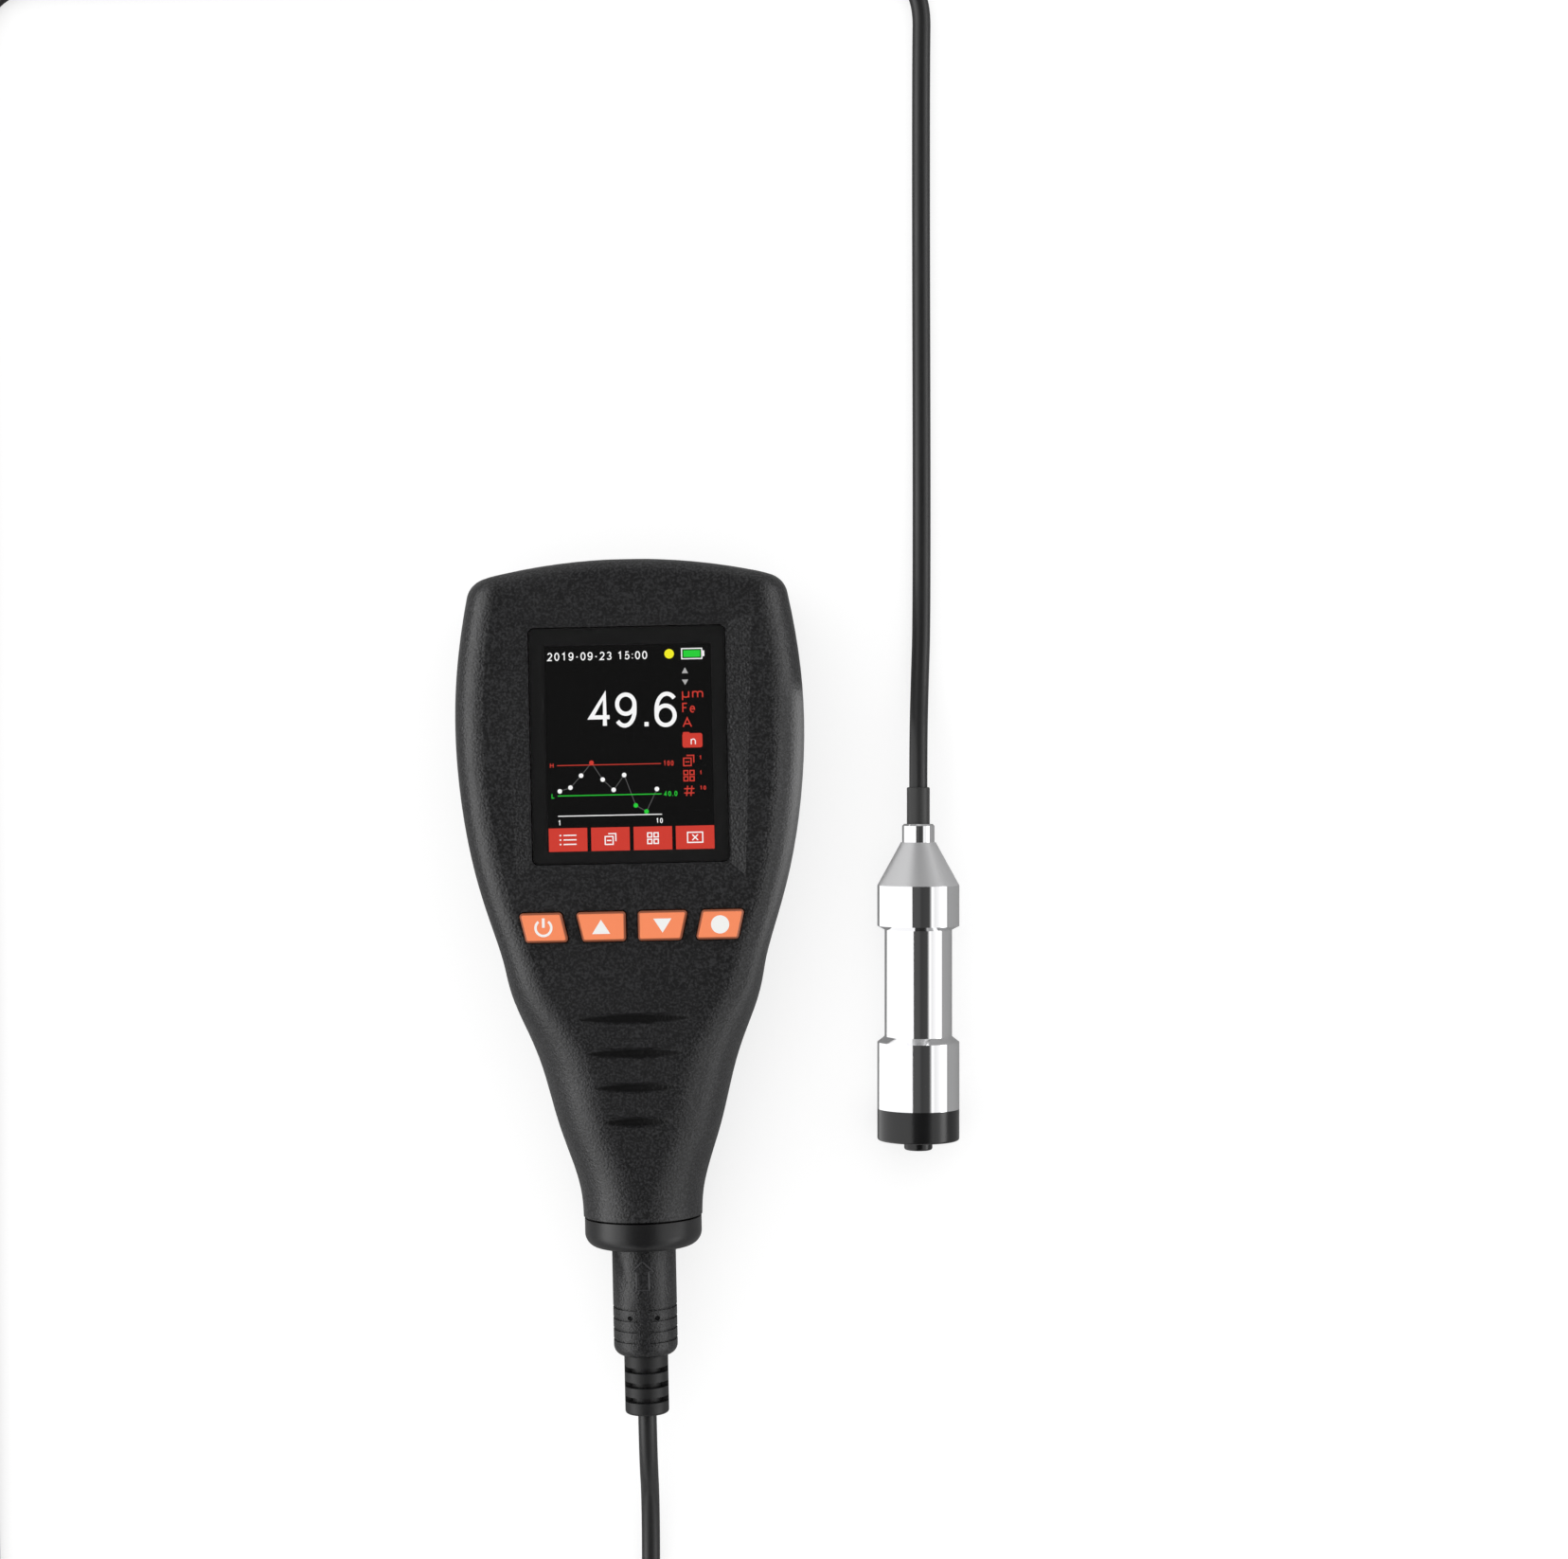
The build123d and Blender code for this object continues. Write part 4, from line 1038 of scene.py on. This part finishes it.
def place_camera():
    """The camera over the object, looking straight down."""
    data = bpy.data.cameras.new("camera")
    data.lens = data.sensor_width * focal_pixels / photo_width
    data.clip_start = 0.01
    camera = new_object("camera", data)
    camera.location = camera_place
    camera.rotation_euler = (0.0, 0.0, camera_turn)
    bpy.context.scene.camera = camera


def studio_sheet(name, corners, material):
    """A flat sheet of the studio."""
    mesh = bpy.data.meshes.new(name)
    mesh.from_pydata(corners, [], [(0, 1, 2, 3)])
    mesh.materials.append(material)
    sheet = new_object(name, mesh)
    return sheet


def bands_ramp(tree, value, bands):
    """A value's brightness from a list of bands, on a colour ramp up to its largest share."""
    low, high = bands[0][0], bands[-1][0]
    most = max(part for _, part in bands)
    ramp = add_node(tree, "ShaderNodeValToRGB", {"Fac": spread(tree, value, low, high)})
    stops = ramp.color_ramp.elements
    for place, _ in bands[1:-1]:
        stops.new((place - low) / (high - low))
    for stop, (_, part) in zip(stops, bands):
        stop.color = (part / most, part / most, part / most, 1.0)
    return times(tree, ramp.outputs["Color"], most)


def light_sky(settings):
    """Light stronger from the upper left. Shiny surfaces see bands in it, and the camera plain white."""
    world = bpy.data.worlds.new("studio")
    bpy.context.scene.world = world
    world.cycles.sampling_method = "NONE"
    world.use_nodes = True
    tree = world.node_tree
    way = tree.nodes.new("ShaderNodeTexCoord").outputs["Generated"]
    parts = split(tree, way)
    turn = reckon(tree, "DEGREES", reckon(tree, "ARCTAN2", parts["X"], parts["Z"]))
    bands = times(tree, bands_ramp(tree, turn, sky_bands), settings.sides)
    upper = spread(tree, parts["Y"], dim_start, dim_end, 1.0, settings.upper_end)
    lower = spread(tree, parts["Y"], -dim_end, -dim_start, settings.lower_end, 1.0)
    bands = times(tree, bands, upper)
    far = spread(tree, reckon(tree, "ABSOLUTE", parts["Y"]), far_start, 1.0)
    change = times(tree, far, less(tree, settings.ends, bands))
    mirrored = times(tree, reckon(tree, "ADD", bands, change), lower)
    rays = tree.nodes.new("ShaderNodeLightPath").outputs
    plain = reckon(tree, "ADD", reach(tree, way, upper_left * settings.slant), settings.air)
    plain = reckon(tree, "MAXIMUM", plain, rays["Is Camera Ray"])
    change = times(tree, rays["Is Glossy Ray"], less(tree, mirrored, plain))
    strength = reckon(tree, "ADD", change, plain)
    fill(tree, tree.nodes["Background"], {"Color": (*white, 1.0), "Strength": strength})


def light_floor(settings):
    """A floor that glows white, and is grey to shiny surfaces."""
    material, tree, shader = finish("studio floor", settings.floor, 0.7)
    shiny = tree.nodes.new("ShaderNodeLightPath").outputs["Is Glossy Ray"]
    glow = times(tree, less(tree, 1.0, shiny), settings.floor_glow)
    looks = {"Emission Strength": glow, "Emission Color": (*white, 1.0), "Specular IOR Level": 0.0}
    fill(tree, shader, looks)
    corners = box_corners(-floor_half, -floor_half, floor_half, floor_half)[:4]
    studio_sheet("studio_floor", [(x, y, 0.0) for x, y in corners], material)


def stand_card(settings):
    """The upright white card, which only shiny surfaces see, with bands on its side to the handset."""
    material, tree, shader = finish("white card", black, 1.0)
    parts = split(tree, object_place(tree))
    fading = spread(tree, parts["Y"], *card_fade)
    bands = times(tree, bands_ramp(tree, parts["Z"], card_bands), fading)
    back = tree.nodes.new("ShaderNodeNewGeometry").outputs["Backfacing"]
    change = times(tree, less(tree, bands, 1.0), back)
    strength = times(tree, reckon(tree, "ADD", change, 1.0), settings.card)
    fill(tree, shader, {"Emission Strength": strength, "Emission Color": (*white, 1.0)})
    corners = box_corners(card_y[0], card_bands[0][0], card_y[1], card_bands[-1][0])[:4]
    card = studio_sheet("white card", [(card_x, y, z) for y, z in corners], material)
    for rays in ("camera", "diffuse", "transmission", "shadow"):
        setattr(card, f"visible_{rays}", False)


def set_studio(settings):
    """The camera, the floor, the sky and the card."""
    place_camera()
    light_floor(settings)
    light_sky(settings)
    stand_card(settings)
    bpy.context.scene.view_settings.view_transform = "Standard"


# Operators


class GaugeOperator:
    bl_options = {"REGISTER", "UNDO"}


class SetStudio(GaugeOperator, Operator):
    """Sets the floor, the lights and the camera"""

    bl_idname = "gauge.set_studio"
    bl_label = "Set the studio"

    def execute(self, context):
        set_studio(context.scene.gauge_studio)
        return {"FINISHED"}


class LayLead(GaugeOperator, Operator):
    """Lays the lead from the plug round to the probe"""

    bl_idname = "gauge.lay_lead"
    bl_label = "Lay the lead"

    def execute(self, context):
        lay_lead(context.scene.gauge_lead)
        return {"FINISHED"}


class FinishHousing(GaugeOperator, Operator):
    """Gives the covers, door and collar their moulded plastic"""

    bl_idname = "gauge.finish_housing"
    bl_label = "Finish the housing"

    def execute(self, context):
        finish_housing(context.scene.gauge_housing)
        return {"FINISHED"}


class GlazeWindow(GaugeOperator, Operator):
    """Makes the clear pane and its printed border"""

    bl_idname = "gauge.glaze_window"
    bl_label = "Glaze the window"

    def execute(self, context):
        glaze_window(context.scene.gauge_window)
        return {"FINISHED"}


class DrawScreen(GaugeOperator, Operator):
    """Draws the lit picture on the display"""

    bl_idname = "gauge.draw_screen"
    bl_label = "Draw the screen"

    def execute(self, context):
        draw_screen(context.scene.gauge_screen)
        return {"FINISHED"}


class FinishKeys(GaugeOperator, Operator):
    """Colours the keys and prints their signs"""

    bl_idname = "gauge.finish_keys"
    bl_label = "Finish the keys"

    def execute(self, context):
        finish_keys(context.scene.gauge_keys)
        return {"FINISHED"}


class FinishPlug(GaugeOperator, Operator):
    """Finishes the plug and raises its arrow"""

    bl_idname = "gauge.finish_plug"
    bl_label = "Finish the plug"

    def execute(self, context):
        finish_plug(context.scene.gauge_plug)
        return {"FINISHED"}


class FinishProbe(GaugeOperator, Operator):
    """Finishes the probe's metal, foot and sleeve, and copies its tip's spring"""

    bl_idname = "gauge.finish_probe"
    bl_label = "Finish the probe"

    def execute(self, context):
        finish_probe(context.scene.gauge_probe)
        return {"FINISHED"}


class FinishInside(GaugeOperator, Operator):
    """Gives the hidden pieces their finishes"""

    bl_idname = "gauge.finish_inside"
    bl_label = "Finish the inside"

    def execute(self, context):
        finish_inside()
        return {"FINISHED"}


operator_classes = (
    SetStudio, LayLead, FinishHousing, GlazeWindow, DrawScreen,
    FinishKeys, FinishPlug, FinishProbe, FinishInside,
)


class GaugePanel(Panel):
    """Lists the gauge's settings and operators"""

    bl_idname = "VIEW3D_PT_gauge"
    bl_label = "Coating thickness gauge"
    bl_space_type = "VIEW_3D"
    bl_region_type = "UI"
    bl_category = "Gauge"

    def draw(self, context):
        for name in settings_classes:
            box = self.layout.box()
            box.label(text=name.replace("gauge_", "").capitalize())
            group = getattr(context.scene, name)
            for label in group.__annotations__:
                box.prop(group, label)
        for operator in operator_classes:
            self.layout.operator(operator.bl_idname)


def register():
    for name, group in settings_classes.items():
        bpy.utils.register_class(group)
        setattr(bpy.types.Scene, name, PointerProperty(type=group))
    for item in (*operator_classes, GaugePanel):
        bpy.utils.register_class(item)


def unregister():
    for item in reversed((*operator_classes, GaugePanel)):
        bpy.utils.unregister_class(item)
    for name, group in reversed(settings_classes.items()):
        delattr(bpy.types.Scene, name)
        bpy.utils.unregister_class(group)


def main():
    register()
    for operator in operator_classes:
        group, name = operator.bl_idname.split(".")
        getattr(getattr(bpy.ops, group), name)()


if __name__ == "__main__":
    main()
